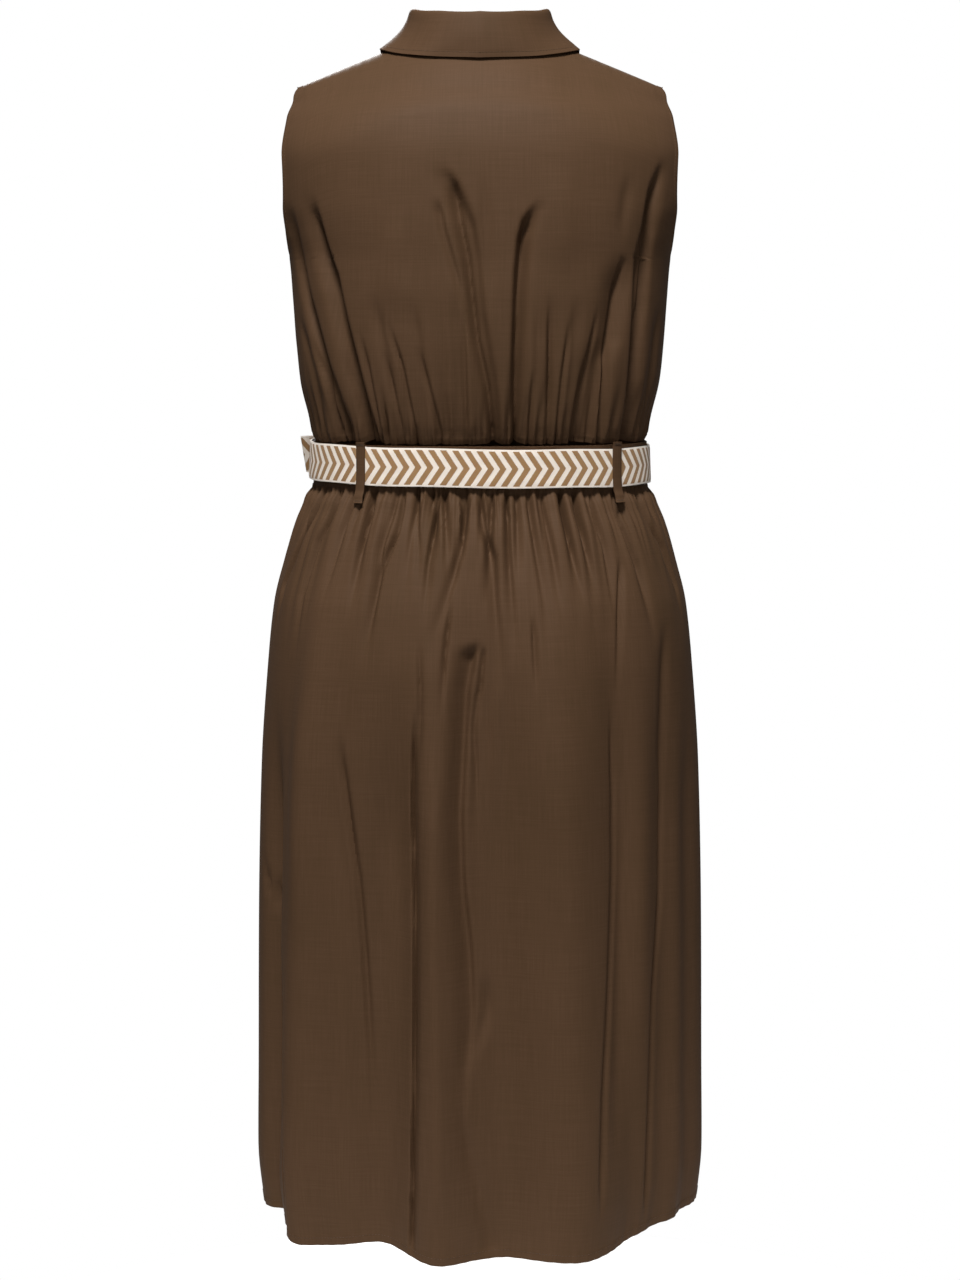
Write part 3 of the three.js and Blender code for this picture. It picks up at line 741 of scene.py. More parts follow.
@dataclass(frozen=True)
class SewingThread:
    """Spun polyester sewing thread, 0.3 mm thick, dyed to the cloth, with the ply's fine twist."""

    dark: str = "#3d2c1a"
    light: str = "#5d4430"
    twist: float = 0.6

    def material(self) -> bpy.types.Material:
        """The thread's material, on Object coordinates.

        Returns:
            The material.
        """
        material, tree = new_material("sewing_thread")
        place = add_node(tree, "ShaderNodeTexCoord").outputs["Object"]
        ply = noise(tree, place, 1000 / self.twist, 1.0).outputs[0]
        colour = toned(tree, ply, ((0.35, self.dark), (0.65, self.light)))
        return finished(material, {"Base Color": colour, "Roughness": 0.6})


class Finish(Enum):
    """Names of material slots."""

    CLOTH = "cloth"
    TAPE = "tape"
    BUTTONS = "buttons"


class Edge(Enum):
    """An edge of a grid of cloth."""

    FOOT = 0
    TOP = 1
    START = 2
    END = 3


def new_object(name: str, data: bpy.types.ID) -> bpy.types.Object:
    """An object linked into the scene.

    Args:
        name: The object's name.
        data: The mesh, lamp or camera.

    Returns:
        The object.
    """
    made = bpy.data.objects.new(name, data)
    bpy.context.scene.collection.objects.link(made)
    return made


@dataclass(frozen=True)
class Cut:
    """The flat cut of a piece in metres, and how it is held."""

    width: float
    length: float
    held: str
    rests_on: tuple[str, ...] = ()
    area: float | None = None


@dataclass
class Workroom:
    """Makes the pieces' objects, and keeps the materials that they share."""

    materials: dict[str, bpy.types.Material] = field(default_factory=dict)
    count: int = 0

    def __post_init__(self) -> None:
        """Makes the four materials once."""
        makers = {
            "cloth": ViscoseSatin(),
            "tape": ChevronTape(),
            "resin": CastResin(),
            "thread": SewingThread(),
        }
        self.materials = {name: maker.material() for name, maker in makers.items()}

    def make(self, name: str, places: Array, faces: Array, material: str) -> bpy.types.Object:
        """Makes an object that rides on the dress.

        Args:
            name: The piece's name.
            places: Vertices in millimetres.
            faces: Vertex numbers, one row to a face.
            material: One of the four materials.

        Returns:
            The object.
        """
        mesh = bpy.data.meshes.new(name)
        mesh.from_pydata(np.asarray(places, float) * MM, [], np.asarray(faces, int).tolist())
        mesh.polygons.foreach_set("use_smooth", np.ones(len(mesh.polygons), bool))
        mesh.materials.append(self.materials[material])
        piece = new_object(name, mesh)
        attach(piece, "root")
        self.count += 1
        LOG.info("%s: %d faces", name, len(mesh.polygons))
        return piece

    def wall(
        self,
        name: str,
        outer: Array,
        flat: Array,
        inner: Array | float,
        material: str = "cloth",
        finish: Finish = Finish.CLOTH,
        wrap: bool = False,
    ) -> bpy.types.Object:
        """Makes a closed wall of cloth between two grids, joined all round its rim.

        Args:
            name: The piece's name.
            outer: Rows by columns of places on its outer face.
            flat: UV places in metres, with one more column than the grid where it wraps.
            inner: The inner face's grid, or the thickness to move the outer one inward by.
            material: The material's name.
            finish: Not used.
            wrap: Whether its last column meets the first.

        Returns:
            The object.
        """
        rows, columns = outer.shape[:2]
        if not isinstance(inner, np.ndarray):
            inner = outer - inner * grid_normals(outer, wrap)
        spans, last = (columns if wrap else columns - 1), rows - 1
        r, c = np.meshgrid(np.arange(last), np.arange(spans), indexing="ij")
        line, side = np.arange(spans), np.arange(last)
        corners = [
            [(r, c, 0), (r, c + 1, 0), (r + 1, c + 1, 0), (r + 1, c, 0)],
            [(r, c, 1), (r + 1, c, 1), (r + 1, c + 1, 1), (r, c + 1, 1)],
            [(0 * line, line, 0), (0 * line, line, 1), (0 * line, line + 1, 1), (0 * line, line + 1, 0)],
            [(0 * line + last, line + 1, k) for k in (0, 1)] + [(0 * line + last, line, k) for k in (1, 0)],
        ]
        if not wrap:
            begin, end = 0 * side, 0 * side + columns - 1
            corners.append([(side + 1, begin, 0), (side + 1, begin, 1), (side, begin, 1), (side, begin, 0)])
            corners.append([(side, end, 0), (side, end, 1), (side + 1, end, 1), (side + 1, end, 0)])
        faces, mapped = [], []
        for quad in corners:
            index = [k * rows * columns + row * columns + column % columns for row, column, k in quad]
            place = [row * flat.shape[1] + column for row, column, _ in quad]
            faces.append(np.stack(index, axis=-1).reshape(-1, 4))
            mapped.append(np.stack(place, axis=-1).reshape(-1))
        places = np.concatenate([outer.reshape(-1, 3), inner.reshape(-1, 3)])
        piece = self.make(name, places, np.concatenate(faces), material)
        layer = piece.data.uv_layers.new(name="UVMap")
        layer.data.foreach_set("uv", flat.reshape(-1, 2)[np.concatenate(mapped)].astype(np.float32).ravel())
        piece.data.set_sharp_from_angle(angle=math.radians(62))
        return piece

    def declare(self, piece: bpy.types.Object, cut: Cut, *nodes: str, extra: tuple = ()) -> bpy.types.Object:
        """Hides the solids that a sheet stands for.

        Args:
            piece: The sheet of cloth.
            cut: Its flat cut; not used.
            nodes: The solids it stands for.

        Returns:
            The same piece.
        """
        if nodes:
            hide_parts(*nodes)
        return piece

    def stitches(
        self,
        name: str,
        lines: list[tuple[Array, Array]],
        length: float = 2.2,
        pitch: float = 3.1,
        radius: float = 0.2,
    ) -> bpy.types.Object:
        """Makes rows of stitches: each is a small grain of thread, its ends sunk into the cloth.

        Args:
            name: The piece's name.
            lines: Pairs of places along a row and the directions out of the cloth there.
            length: A stitch's length in millimetres.
            pitch: From one stitch to the next.
            radius: Half the thread's thickness.

        Returns:
            The object.
        """
        turn = np.radians([0, 90, 180, 270])
        ring = np.stack([0 * turn, np.cos(turn) * radius, np.sin(turn) * radius * 0.8 + 0.1], axis=-1)
        ends = np.array([[-length / 2, 0, -radius], [length / 2, 0, -radius]])
        shoulder = np.array([length * 0.32, 0, 0])
        shape = np.concatenate([ends[:1], ring - shoulder, ring + shoulder, ends[1:]])
        near, far = np.arange(4), (np.arange(4) + 1) % 4
        triangles = np.concatenate(
            [
                np.stack([0 * near, 1 + far, 1 + near], axis=-1),
                np.stack([1 + near, 1 + far, 5 + far], axis=-1),
                np.stack([1 + near, 5 + far, 5 + near], axis=-1),
                np.stack([0 * near + 9, 5 + near, 5 + far], axis=-1),
            ]
        )
        places, faces, start = [], [], 0
        for line, normals in lines:
            arc = arc_lengths(line, 0)
            count = max(1, int(arc[-1] / pitch))
            middles = (np.arange(count) + 0.5) * arc[-1] / count
            centre = along_line(arc, line, middles)
            along = unit(along_line(arc, line, middles + 0.8) - along_line(arc, line, middles - 0.8))
            out = unit(along_line(arc, normals, middles))
            across = unit(np.cross(out, along))
            axes = np.stack([along, across, np.cross(along, across)], axis=1)
            places.append((centre[:, None, :] + shape @ axes).reshape(-1, 3))
            first = start + np.arange(count) * len(shape)
            faces.append((first[:, None, None] + triangles).reshape(-1, 3))
            start += count * len(shape)
        return self.make(name, np.concatenate(places), np.concatenate(faces), "thread")


def inset_line(points: Array, edge: Edge, inset: float, keep: slice = slice(None)) -> tuple[Array, Array]:
    """A line on the cloth at one distance from an edge of its grid.

    Args:
        points: The grid of places.
        edge: The edge to keep to.
        inset: The distance from it along the cloth.
        keep: The stretch of the line that is wanted.

    Returns:
        Places along the line, and the directions out of the cloth there.
    """
    normals = grid_normals(points)
    both = np.concatenate([points, normals], axis=-1)
    if edge in (Edge.TOP, Edge.END):
        both = both[::-1] if edge is Edge.TOP else both[:, ::-1]
    lines = both.swapaxes(0, 1) if edge in (Edge.FOOT, Edge.TOP) else both
    lines = lines[keep]
    steps = np.linalg.norm(np.diff(lines[..., :3], axis=1), axis=-1)
    arc = arc_lengths(lines[..., :3], 1)
    take = np.arange(len(lines))
    index = np.clip((arc < inset).sum(axis=1) - 1, 0, lines.shape[1] - 2)
    share = ((inset - arc[take, index]) / np.maximum(steps[take, index], 1e-6))[:, None]
    line = lines[take, index] * (1 - share) + lines[take, index + 1] * share
    return line[:, :3] + line[:, 3:] * 0.05, line[:, 3:]


def even_arc(start: float, end: float, count: int) -> Array:
    """Angles that divide a stretch of the dress's section into even lengths of cloth.

    Args:
        start: The first angle.
        end: The last angle.
        count: How many stretches.

    Returns:
        Angles, one more than the count.
    """
    dense = np.linspace(start, end, 2401)
    ring = FORM.waist(dense, 0 * dense, 0)
    arc = arc_lengths(ring, 0)
    return np.interp(np.linspace(0, arc[-1], count + 1), arc, dense)


def flat_map(rows: Array, columns: Array) -> Array:
    """A UV map in metres from distances up the rows and along the columns."""
    along, up = np.broadcast_arrays(columns, rows)
    return np.stack([along, up], axis=-1) * MM


@dataclass(frozen=True)
class BodicePanel:
    """One panel of the bodice, held at the waist seam, the shoulder and the neck."""

    node: str
    side: int
    start: float
    cut: Cut
    folds: tuple[Fold, ...]
    gathers: tuple[Gathers, ...]
    shift: tuple[float, float]
    half_columns: int = 102
    neck_columns: int = 60
    wall: float = 0.9
    armhole_band: float = 5.6
    stitch_inset: float = 5.2
    seam_sink: float = 1.7
    ruche: float = 3.7
    shoulder_ruche: float = 8.4

    def columns(self) -> tuple[Array, Array]:
        """The angles of the columns of cloth.

        One ends on the neck point, and those past it end evenly round the neckline.

        Returns:
            Each column's angle at its foot and at its top.
        """
        neck = math.degrees(math.acos((FORM.neck_half / FORM.shoulder_half) ** (ROUNDNESS / 2)))
        outer = even_arc(0, neck, self.half_columns)
        inner = even_arc(neck, 90, self.neck_columns)[1:]
        share = np.arange(1, self.neck_columns + 1) / self.neck_columns
        across = np.maximum(0, FORM.neck_half * np.cos(np.pi / 2 * share))
        tops = np.degrees(np.arccos((across / FORM.shoulder_half) ** (ROUNDNESS / 2)))
        foot, top = np.concatenate([outer, inner]), np.concatenate([outer, tops])
        if self.start == 0:
            return tuple(np.concatenate([a, 180 - a[-2::-1]]) for a in (foot, top))
        if self.start == -90:
            return -foot[::-1], -top[::-1]
        return foot - 180, top - 180

    def rows(self, foot: Array) -> Array:
        """Shares of each column's height.

        They are close at the waist and even along the quarter circle that rounds into the shoulder. At
        the sides they also draw together, as squares, where the armhole starts to cut in.

        Args:
            foot: Each column's angle at its foot.

        Returns:
            Rows by columns of shares from 0 to 1.
        """
        low = np.linspace(0, 0.05, 12)[:-1]
        even = np.linspace(0.05, 0.765, 66)[:, None]
        underarm = (FORM.underarm - FORM.bodice_bottom) / (FORM.shoulder_tip - FORM.bodice_bottom)
        rise = np.linspace(0, 1, 33)[1:] ** 2
        drawn = np.concatenate([np.linspace(0.05, underarm, 34), underarm + (0.765 - underarm) * rise])
        side = np.abs(side_share(foot))
        middle = even * (1 - side) + drawn[:, None] * side
        turn = np.linspace(np.pi / 2, 0, 37)[1:]
        top = 1 - 0.235 * (1 - np.cos(turn))
        spread = np.ones_like(foot)
        return np.concatenate([low[:, None] * spread, middle, top[:, None] * spread])

    def grid(self) -> tuple[Array, Array]:
        """The panel's outer face: the smooth form moved along its normals by folds, gathers and edges.

        Returns:
            The grid of places and the flat map.
        """
        foot, top = self.columns()
        share = self.rows(foot)
        angle = foot + (top - foot) * smooth(share)
        top_height = FORM.bodice_top(top, self.side)
        height = FORM.bodice_bottom + share * (top_height - FORM.bodice_bottom)
        inset = FORM.armhole_inset(height) * side_share(angle)
        base = FORM.bodice(angle + self.side * inset, height, self.side)
        normal = grid_normals(base)
        arc = arc_lengths(base, 1)
        span = arc[0, -1]
        below, above = top_height - height, height - FORM.bodice_bottom
        stretch = np.clip(np.abs(np.gradient(arc, axis=1) / np.gradient(base[..., 0], axis=1)), 1, 6)
        cut = sum(fold.cut(base[..., 0], height, stretch) for fold in self.folds) * smooth(below / 60)
        cut = cut * (0.9 + 0.1 * smooth(above / 16))
        seam = np.broadcast_to(arc[:1], arc.shape)
        for gather in self.gathers:
            cut = cut + gather.cut(seam, above, span)
        flat = 1.0 if self.side > 0 else smooth((np.abs(foot + 90) - 7) / 8)
        move = -cut * flat
        move -= self.seam_sink * (1 - smooth(above / 9))
        ticks = np.sin(seam * 2 * np.pi / self.ruche + 1.2 * np.sin(seam / 17))
        move += 0.6 * ticks * bell(above - 2.5, 4.5)
        move -= 0.5 * bell(above - 7.5, 1.0)
        move += self.edges(arc, below, height, base)
        out = base + locked(normal) * move[..., None]
        tip = 1.9 * bell(below - 8, 5.5) - 2.2 * bell(below, 2.4)
        out[..., 0] += self.shift[0] + side_share(angle) * tip
        out[..., 1] += self.shift[1]
        middle = {0: arc[:, len(foot) // 2], -90: arc[:, 0], -180: arc[:, -1]}[self.start]
        return out, flat_map(arc_lengths(base * [0, 1, 1], 0), arc - middle[:, None])

    def edges(self, arc: Array, below: Array, height: Array, base: Array) -> Array:
        """Turned edges round the armhole and puckers along the front of the shoulder seam.

        Args:
            arc: Distance from the first column.
            below: Distance below the top edge.
            height: Heights.
            base: The smooth form.

        Returns:
            How far each point moves out.
        """
        far = arc[:, -1:] - arc
        if self.start == 0:
            near = np.minimum(arc, far)
        else:
            near = far if self.start == -90 else arc
        opening = smooth((height - FORM.underarm) / 12)
        band = 0.45 * (1 - smooth((near - self.armhole_band) / 1.1)) * opening
        groove = 0.3 * bell(near - 5.4, 0.6) * opening
        ripple = 0.5 * np.sin(height / 7.3 + 2 * np.sin(height / 31)) * bell(near, 13) * opening
        move = band - groove + ripple * smooth(near / 4)
        move = move - 0.5 * bell(near, 1.6) * (1 - opening)
        across = np.abs(base[..., 0])
        strength, reach = (1.1, 17) if self.side < 0 else (0.25, 6)
        on_shoulder = smooth((across - FORM.neck_half - 6) / 12)
        on_shoulder = on_shoulder * smooth((FORM.shoulder_half - across + 6) / 10)
        wave = np.sin(across * 2 * np.pi / self.shoulder_ruche + 1.7 * np.sin(across / 13))
        wave = wave + 0.5 * np.sin(across / 2.1)
        move = move + strength * wave * on_shoulder * smooth(below / 2.4) * np.exp(-below / reach)
        return move

    def build(self, room: Workroom) -> bpy.types.Object:
        """Makes the panel with its armhole stitching.

        Args:
            room: The workroom that makes the objects.

        Returns:
            The object.
        """
        points, flat = self.grid()
        panel = room.wall(f"{self.node}_panel", points, flat, self.wall)
        room.declare(panel, self.cut, self.node)
        heights = points[:, 0, 2] if self.start != -90 else points[:, -1, 2]
        first = int(np.argmax(heights > FORM.underarm + 6))
        keep = slice(first, None)
        lines = []
        if self.start != -90:
            lines.append(inset_line(points, Edge.START, self.stitch_inset, keep))
        if self.start != -180:
            lines.append(inset_line(points, Edge.END, self.stitch_inset, keep))
        room.stitches(f"armhole_stitching_{self.node}", lines)
        return panel


def side_share(angle: Array) -> Array:
    """1 at one side, -1 at the other, and next to nothing past the shoulder blades: a cosine cubed."""
    return np.cos(np.radians(angle)) ** 3


def locked(normals: Array) -> Array:
    """Normals with no part along Y on the first and last columns where those face sideways.

    Two panels whose edges move along these still meet at the side seam.

    Args:
        normals: Directions out of a grid.

    Returns:
        The same directions, kept in line.
    """
    kept = normals.copy()
    for edge in (0, -1):
        sideways = np.abs(kept[:, edge, 0]) > 0.3
        kept[sideways, edge, 1] = 0
    return unit(kept)


# The skirt's long folds as (upper angle, upper height, angle at the hem, width, depth)
LONG_FOLDS = (
    (90, -430, 94, 18, 13),
    (80, -520, 82, 17, -13),
    (73, -560, 66, 22, 16),
    (47, -440, 38, 19, -11),
    (25, -600, 23, 13, 17),
    (106, -500, 112, 22, -12),
    (123, -440, 130, 16, 8),
    (146, -520, 142, 22, 12),
    (160, -560, 158, 16, 8),
    (-22, -470, -26, 18, 12),
    (-40, -560, -42, 20, -9),
    (-58, -440, -62, 18, 12),
    (-120, -450, -114, 18, 11),
    (-136, -560, -134, 20, -9),
    (-157, -470, -152, 18, 12),
)

# Every table of creases below has a row for each crease: width, depth, lean, fade at its upper end,
# fade at its lower end, spread, and then place and height in turn down its path. Place is millimetres
# across on the bodice, where the photograph's left is +X, and degrees on the skirt.
BODICE_BACK_CREASES = (
    (8.5, 6.6, 0.45, 0.16, 0.02, 0, 37, -112, 30, -128, 21, -142, 10, -170, 5, -199, 1, -248, -9, -310,
     -17, -386),
    (4.8, 6.0, 0.3, 0.1, 0.02, -0.42, 34, -118, 23, -133, 19, -163, 11, -201, 7, -236, 2, -276, -7, -317,
     -14, -386),
    (3.6, 3.6, 0.3, 0.12, 0.4, 0, 39, -146, 33, -176, 25, -203, 17, -231, 11, -256),
    (5.0, 4.4, -0.3, 0.08, 0.02, -0.45, -54, -156, -41, -164, -38, -196, -35, -236, -33, -292, -33, -386),
    (3.4, 5.5, -0.3, 0.1, 0.02, 0, -169, -112, -158, -149, -155, -195, -152, -241, -142, -303, -132,
     -386),
    (2.8, 5.0, -0.3, 0.08, 0.02, 0, -133, -196, -126, -231, -119, -282, -110, -386),
    (3.6, 6.0, 0.3, 0.1, 0.02, 0, 157, -150, 145, -185, 133, -215, 126, -256, 117, -302, 111, -333, 102,
     -386),
    (2.8, 4.5, 0.3, 0.12, 0.02, 0, 168, -190, 160, -246, 146, -298, 132, -386),
    (2.3, 3.8, 0.2, 0.3, 0.02, 0, 112, -262, 104, -297, 94, -350, 90, -386),
    (2.3, 3.8, 0.2, 0.3, 0.02, 0, 86, -252, 72, -297, 60, -356, 57, -386),
    (2.2, 3.4, 0.2, 0.3, 0.02, 0, 91, -278, 83, -307, 74, -348, 70, -386),
    (2.3, 3.6, 0.2, 0.3, 0.02, 0, 58, -276, 47, -317, 37, -358, 34, -386),
    (2.3, 3.4, 0.2, 0.3, 0.02, 0, 16, -242, 14, -297, 11, -386),
    (2.3, 3.8, -0.2, 0.3, 0.02, 0, -63, -240, -64, -297, -63, -386),
    (2.3, 3.6, -0.2, 0.3, 0.02, 0, -83, -250, -76, -307, -69, -386),
    (2.2, 3.4, -0.2, 0.3, 0.02, 0, -98, -286, -91, -328, -83, -386),
    (2.4, 3.8, -0.2, 0.3, 0.02, 0, -110, -240, -99, -297, -86, -386),
    (2.2, 3.2, -0.2, 0.3, 0.02, 0, -49, -300, -47, -332, -45, -386),
    (2.2, 3.4, 0.2, 0.3, 0.02, 0, 128, -286, 117, -323, 104, -386),
    (2.4, 3.8, 0.2, 0.3, 0.02, 0, 160, -268, 144, -318, 126, -386),
    (6, 2.6, -0.2, 0.4, 0.4, 0, -2, -112, -7, -199, -10, -262),
    (5.5, 8.0, -0.45, 0.12, 0.02, 0, -56, -146, -46, -160, -38, -182, -35, -214, -33, -273, -31, -386),
    (7, 2.2, 0, 0.4, 0.5, 0, -137, -118, -132, -160, -130, -190),
    (7, 9, -0.4, 0.2, 0.02, 0, -171, -104, -160, -136, -154, -173, -148, -198, -146, -250, -143, -300,
     -137, -386),
    (13, 8, 0.2, 0.2, 0.1, 0, -133, -192, -127, -236, -120, -273, -109, -298, -98, -345, -92, -386),
    (7.5, 9.5, 0.4, 0.2, 0.02, 0, 157, -138, 150, -170, 144, -196, 133, -236, 120, -286, 108, -336, 94,
     -386),
    (7, 7.5, 0.3, 0.2, 0.02, 0, 178, -146, 170, -190, 163, -228, 144, -299, 126, -355, 121, -386),
    (5, 2.0, 0.2, 0.3, 0.25, 0, 64, -232, 58, -262, 50, -323, 44, -358),
    (5.5, 2.2, 0.2, 0.3, 0.25, 0, 98, -228, 92, -262, 84, -298, 78, -340),
    (4.5, 2.2, 0.2, 0.3, 0.25, 0, 23, -222, 20, -270, 15, -335, 12, -360),
    (5, 2.8, -0.2, 0.3, 0.25, 0, -64, -226, -66, -280, -65, -355),
    (5, 2.2, -0.2, 0.3, 0.25, 0, -88, -232, -86, -290, -82, -340),
    (4.5, 1.8, -0.2, 0.3, 0.25, 0, -52, -240, -53, -300, -52, -355),
    (7, 3.0, 0.0, 0.3, 0.25, 0, -168, -240, -163, -290, -157, -345),
    (6, 2.6, 0.0, 0.3, 0.25, 0, 170, -250, 158, -300, 147, -350),
    (15, -2.2, 0, 0.4, 0.4, 0, 76, -150, 80, -210, 76, -262),
    (16, -2.4, 0, 0.4, 0.4, 0, -70, -110, -76, -170, -78, -225),
)

# Plain creases of the fronts, which the photograph doesn't show, kept like the back's
BODICE_LEFT_CREASES = (
    (10, 6, 0.2, 0.4, 0.02, 0, 138, -205, 122, -260, 106, -320, 97, -386),
    (8, 5, 0.2, 0.4, 0.02, 0, 166, -200, 152, -260, 140, -386),
    (5.5, 2.6, 0.2, 0.3, 0.25, 0, 84, -262, 76, -310, 70, -362),
    (6, 2.4, 0.2, 0.3, 0.25, 0, 112, -230, 104, -275, 96, -330),
    (5, 2.2, 0.2, 0.3, 0.25, 0, 60, -285, 54, -330, 51, -366),
    (14, -2.4, 0, 0.4, 0.4, 0, 128, -120, 124, -170, 116, -222),
)
BODICE_RIGHT_CREASES = (
    (10, 6, -0.2, 0.4, 0.02, 0, -141, -215, -128, -268, -112, -322, -101, -386),
    (8, 5, -0.2, 0.4, 0.02, 0, -164, -192, -153, -255, -143, -386),
    (5.5, 2.8, -0.2, 0.3, 0.25, 0, -78, -248, -74, -300, -67, -360),
    (6, 2.2, -0.2, 0.3, 0.25, 0, -116, -222, -110, -270, -98, -336),
    (5, 2.2, -0.2, 0.3, 0.25, 0, -56, -296, -53, -335, -50, -368),
    (14, -2.4, 0, 0.4, 0.4, 0, -120, -112, -122, -165, -118, -214),
)

# The skirt's fold down the centre back, from just under the seat
SKIRT_CENTRE_CREASES = (
    (7.0, 9.0, 0.45, 0.03, 0.6, 0, 89.8, -546, 88.6, -558, 87.5, -590, 86.9, -640, 86.2, -705, 86.6, -769,
     88.0, -830, 88.6, -890, 87.4, -950, 87.2, -1000, 88.9, -1080),
    (2.6, 4.0, 0.3, 0.05, 0.5, 0, 90.6, -550, 90.1, -587, 89.0, -626, 89.5, -659, 89.7, -730),
    (6, -2.6, 0, 0.3, 0.4, 0, 93.4, -560, 93.2, -600, 92.6, -660, 92.9, -730),
)

# Creases that start at the seam behind the belt: the first angle, then angle and height in turn
SKIRT_SEAM_CREASES = (
    (72.7, 73.6, -440, 74.8, -462, 75.4, -500),
    (80.6, 82.3, -451, 83.3, -500),
    (90.0, 90.7, -445, 92.5, -470, 92.6, -505, 93.3, -549, 93.5, -600),
    (88.0, 86.0, -467, 84.1, -494, 80.9, -538, 80.2, -580),
    (79.2, 78.0, -478, 77.7, -540),
    (92.9, 92.0, -451, 91.2, -494, 90.5, -530),
    (96.5, 96.2, -462, 96.4, -510, 97.1, -570),
    (102.4, 103.5, -462, 104.7, -511, 105.3, -570),
    (107.0, 108.4, -473, 109.3, -540),
    (113.5, 114.6, -462, 116.4, -530),
    (125.5, 126.5, -463, 126.9, -545),
    (135.6, 139.6, -482, 142.4, -560),
    (65.2, 63.2, -463, 63.0, -517, 62.1, -590),
    (55.4, 55.6, -463, 55.6, -540),
    (41.2, 35.4, -460, 33.8, -511, 33.9, -580),
    (68.5, 67.7, -451, 64.4, -484, 60.1, -580),
    (28.4, 23.1, -457, 17.0, -504, 14.2, -560),
    (150.6, 159.1, -468, 162.3, -503, 163.8, -560),
    (77.2, 78.9, -440, 79.2, -480),
    (85.2, 86.4, -434, 87.0, -470),
    (118.8, 119.6, -450, 121.0, -520),
    (47.8, 46.4, -450, 45.0, -530),
    (99.4, 99.2, -440, 98.6, -500),
)
SEAM_HEIGHT = -409
SEAM_WIDTHS = (1.9, 2.2, 2.7, 2.4, 2.0)
SEAM_DEPTHS = (6.2, 7.4, 9.0, 6.8, 8.0, 6.4, 8.6)
SEAM_LEANS = (0.3, -0.3, 0.2)

# Long creases of the skirt's back, and negative ones for the ridges between them
SKIRT_LONG_CREASES = (
    (2.6, 3.6, -0.2, 0.3, 0.5, 0, 76.6, -540, 77.6, -604, 77.5, -680),
    (2.4, 4.2, 0.2, 0.3, 0.5, 0, 84.4, -500, 83.1, -560, 82.4, -620),
    (2.4, 3.6, -0.2, 0.3, 0.5, 0, 101.4, -520, 101.7, -600),
    (2.94, 4.4, -0.2, 0.2, 0.7, 0, 132, -470, 125.5, -610),
    (7.0, 3.4, 0, 0.3, 0.25, 0, 148, -530, 144.6, -690),
    (3.4, 6.2, -0.35, 0.12, 0.5, 0, 54, -630, 55.9, -672, 58.1, -717, 60.6, -773, 62.2, -841, 63.6, -922,
     64.9, -1040),
    (9, 3.4, 0, 0.3, 0.25, 0, 52, -640, 56.6, -740, 59.0, -841, 60.6, -940, 61.6, -1040),
    (3.0, 7.6, -0.35, 0.1, 0.05, 0, 76.6, -600, 76.0, -657, 76.1, -713, 76.6, -770, 76.9, -861, 76.7,
     -964, 76.4, -1046, 75.2, -1129),
    (8, -2.8, 0, 0.2, 0.1, 0, 80.9, -640, 80.9, -769, 81.5, -872, 82.2, -987, 82.2, -1100),
    (3.2, 5.4, -0.3, 0.2, 0.15, 0, 123.3, -600, 123.2, -690, 122.6, -763, 120.4, -877, 118.2, -969, 117.4,
     -1100),
    (10, 3.4, 0, 0.3, 0.3, 0, 127, -620, 126, -763, 124, -877, 122, -1090),
    (3.6, 5.2, -0.3, 0.2, 0.1, 0, 145, -640, 144.7, -690, 143.1, -794, 138.3, -884, 137.2, -978, 137.2,
     -1110),
    (3.4, 6.6, 0.35, 0.12, 0.03, 0, 14, -760, 18, -790, 24.6, -818, 30.4, -856, 34.0, -901, 34.0, -983,
     34.8, -1129),
    (8, 3.4, 0, 0.3, 0.05, 0, 26, -860, 30, -910, 30.4, -1000, 31, -1129),
    (14, 2.2, 0, 0.4, 0.4, 0, 100, -640, 103, -760, 104, -900),
    (12, -2.0, 0, 0.4, 0.4, 0, 68, -700, 70, -850, 70, -1000),
    (13, -2.4, 0, 0.4, 0.4, 0, 40, -560, 41, -700, 44, -850),
    (14, -2.6, 0, 0.4, 0.4, 0, 133, -680, 131, -860, 130, -1040),
    (6, 3.4, 0.3, 0.2, 0.4, 0, 90.6, -860, 91.4, -890, 89.9, -915, 87.4, -945),
    (8, 3.6, 0, 0.3, 0.1, 0, 86.6, -980, 88.4, -1030, 90.5, -1080, 92, -1129),
)

# Plain creases of the skirt's fronts, invented to match the back's
SKIRT_LEFT_CREASES = (
    (2.47, 5.34, 0.2, 0.04, 0.8, 1.3, -70, -409, -72, -520, -71, -600),
    (2.47, 5.0, 0.2, 0.04, 0.8, 1.3, -48, -409, -50, -500, -49, -570),
    (2.94, 5.67, -0.2, 0.04, 0.8, 1.3, -33, -409, -32, -540, -34, -640),
    (7, 3.6, 0.3, 0.3, 0.25, 0, -64, -640, -66, -800, -66, -1000),
    (8, 3.6, 0, 0.3, 0.25, 0, -14, -540, -13, -700, -14, -900),
    (10, -3.0, 0, 0.4, 0.1, 0, -48, -660, -50, -860, -50, -1129),
)
SKIRT_RIGHT_CREASES = (
    (2.47, 5.0, -0.2, 0.04, 0.8, 1.3, -108, -409, -107, -505, -109, -590),
    (2.59, 5.34, -0.2, 0.04, 0.8, 1.3, -131, -409, -130, -520, -133, -600),
    (2.71, 5.0, 0.2, 0.04, 0.8, 1.3, -145, -409, -147, -505, -146, -560),
    (8, 3.8, -0.3, 0.3, 0.25, 0, -111, -650, -109, -820, -109, -1010),
    (8, 3.4, 0, 0.3, 0.25, 0, -167, -560, -166, -720, -165, -900),
    (11, -3.2, 0, 0.4, 0.1, 0, -127, -700, -126, -900, -126, -1129),
)


def creases(*tables: tuple[tuple[float, ...], ...]) -> tuple[Fold, ...]:
    """The folds that the rows of one or more tables describe."""
    rows = [row for table in tables for row in table]
    return tuple(Fold(tuple(zip(row[6::2], row[7::2])), *row[:3], row[3:5], row[5]) for row in rows)


